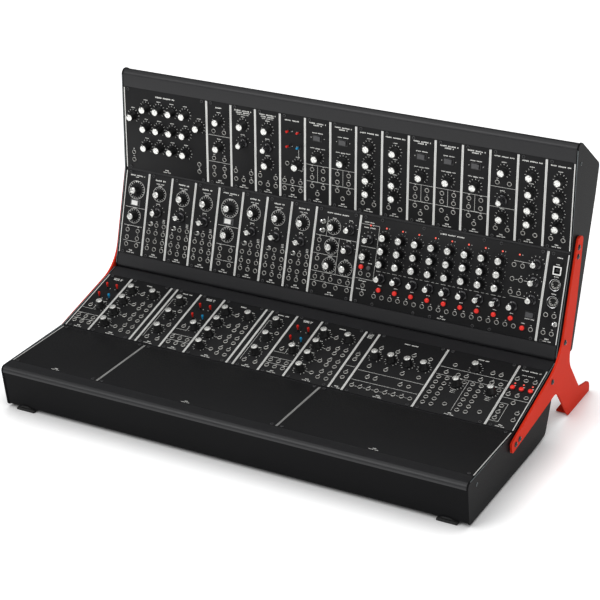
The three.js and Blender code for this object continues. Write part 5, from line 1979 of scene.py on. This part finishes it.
class SYNTH_OT_stage(bpy.types.Operator):
    """Sets the floor, the lights and the camera"""

    bl_idname = "synthesizer.stage"
    bl_label = "Stage"

    def execute(self, context):
        scene = context.scene
        scene.view_settings.view_transform = "Standard"
        self.floor()
        scene.world = bpy.data.worlds.new("Studio")
        scene.world.use_nodes = True
        background = scene.world.node_tree.nodes["Background"]
        background.inputs["Color"].default_value = linear("#f6f7f8")
        background.inputs["Strength"].default_value = 0.15
        self.lights()
        self.camera(scene)
        return {"FINISHED"}

    def floor(self):
        """A white floor just under the feet."""
        half = FLOOR_REACH
        work = bmesh.new()
        corners = [(-half, -half), (half, -half), (half, half), (-half, half)]
        work.faces.new([work.verts.new((x, y, -0.5 * MM)) for x, y in corners])
        floor = new_object("studio_floor", mesh_from("studio_floor", work))
        floor.data.materials.append(studio_board())

    def lights(self):
        """A wide soft box overhead, one in front on the left and a small one on the right."""
        for name, at, width, watts in LIGHTS:
            light = bpy.data.lights.new(name, "AREA")
            light.size = width
            light.energy = watts
            lamp = new_object(name, light)
            lamp.location = at
            lamp.rotation_euler = (Vector(at) - Vector(AIM)).to_track_quat("Z", "Y").to_euler()

    def camera(self, scene):
        """The viewpoint that was fitted to the panel corners in the photograph."""
        lens = bpy.data.cameras.new("viewpoint")
        lens.sensor_width = 36
        lens.lens = 112.7
        lens.clip_end = 50
        camera = new_object("viewpoint", lens)
        right = Vector((0.8844, 0.4667, -0.0023)).normalized()
        forward = Vector((-0.4250, 0.8034, -0.4170)).normalized()
        up = right.cross(forward).normalized()
        turn = Matrix((right, up, -forward)).transposed()
        camera.matrix_world = Matrix.Translation((1.1271, -2.1240, 1.2602)) @ turn.to_4x4()
        scene.camera = camera


OPERATORS = (
    SYNTH_OT_cases,
    SYNTH_OT_carried,
    SYNTH_OT_brackets,
    SYNTH_OT_panels,
    SYNTH_OT_edges,
    SYNTH_OT_knobs,
    SYNTH_OT_selectors,
    SYNTH_OT_sockets,
    SYNTH_OT_switches,
    SYNTH_OT_buttons,
    SYNTH_OT_prints,
    SYNTH_OT_stage,
)


class SYNTH_PT_sidebar(bpy.types.Panel):
    """Lists the pieces and their sizes."""

    bl_label = "Modular synthesizer"
    bl_space_type = "VIEW_3D"
    bl_region_type = "UI"
    bl_category = "Synthesizer"

    def draw(self, context):
        layout = self.layout
        for operator in OPERATORS:
            layout.operator(operator.bl_idname)
        for group in (colours(), case_sizes(), bracket_sizes(), control_sizes(), print_sizes()):
            box = layout.box()
            for name in group.__annotations__:
                box.prop(group, name)


GROUPS = {
    "synthesizer_colours": SynthesizerColours,
    "synthesizer_case": CaseSizes,
    "synthesizer_bracket": BracketSizes,
    "synthesizer_controls": ControlSizes,
    "synthesizer_print": PrintSizes,
}
CLASSES = (*GROUPS.values(), *OPERATORS, SYNTH_PT_sidebar)


def register():
    for kind in CLASSES:
        bpy.utils.register_class(kind)
    for name, group in GROUPS.items():
        setattr(bpy.types.Scene, name, PointerProperty(type=group))


def unregister():
    for name in GROUPS:
        delattr(bpy.types.Scene, name)
    for kind in reversed(CLASSES):
        bpy.utils.unregister_class(kind)


def main():
    register()
    for operator in OPERATORS:
        family, name = operator.bl_idname.split(".")
        getattr(getattr(bpy.ops, family), name)()


if __name__ == "__main__":
    main()
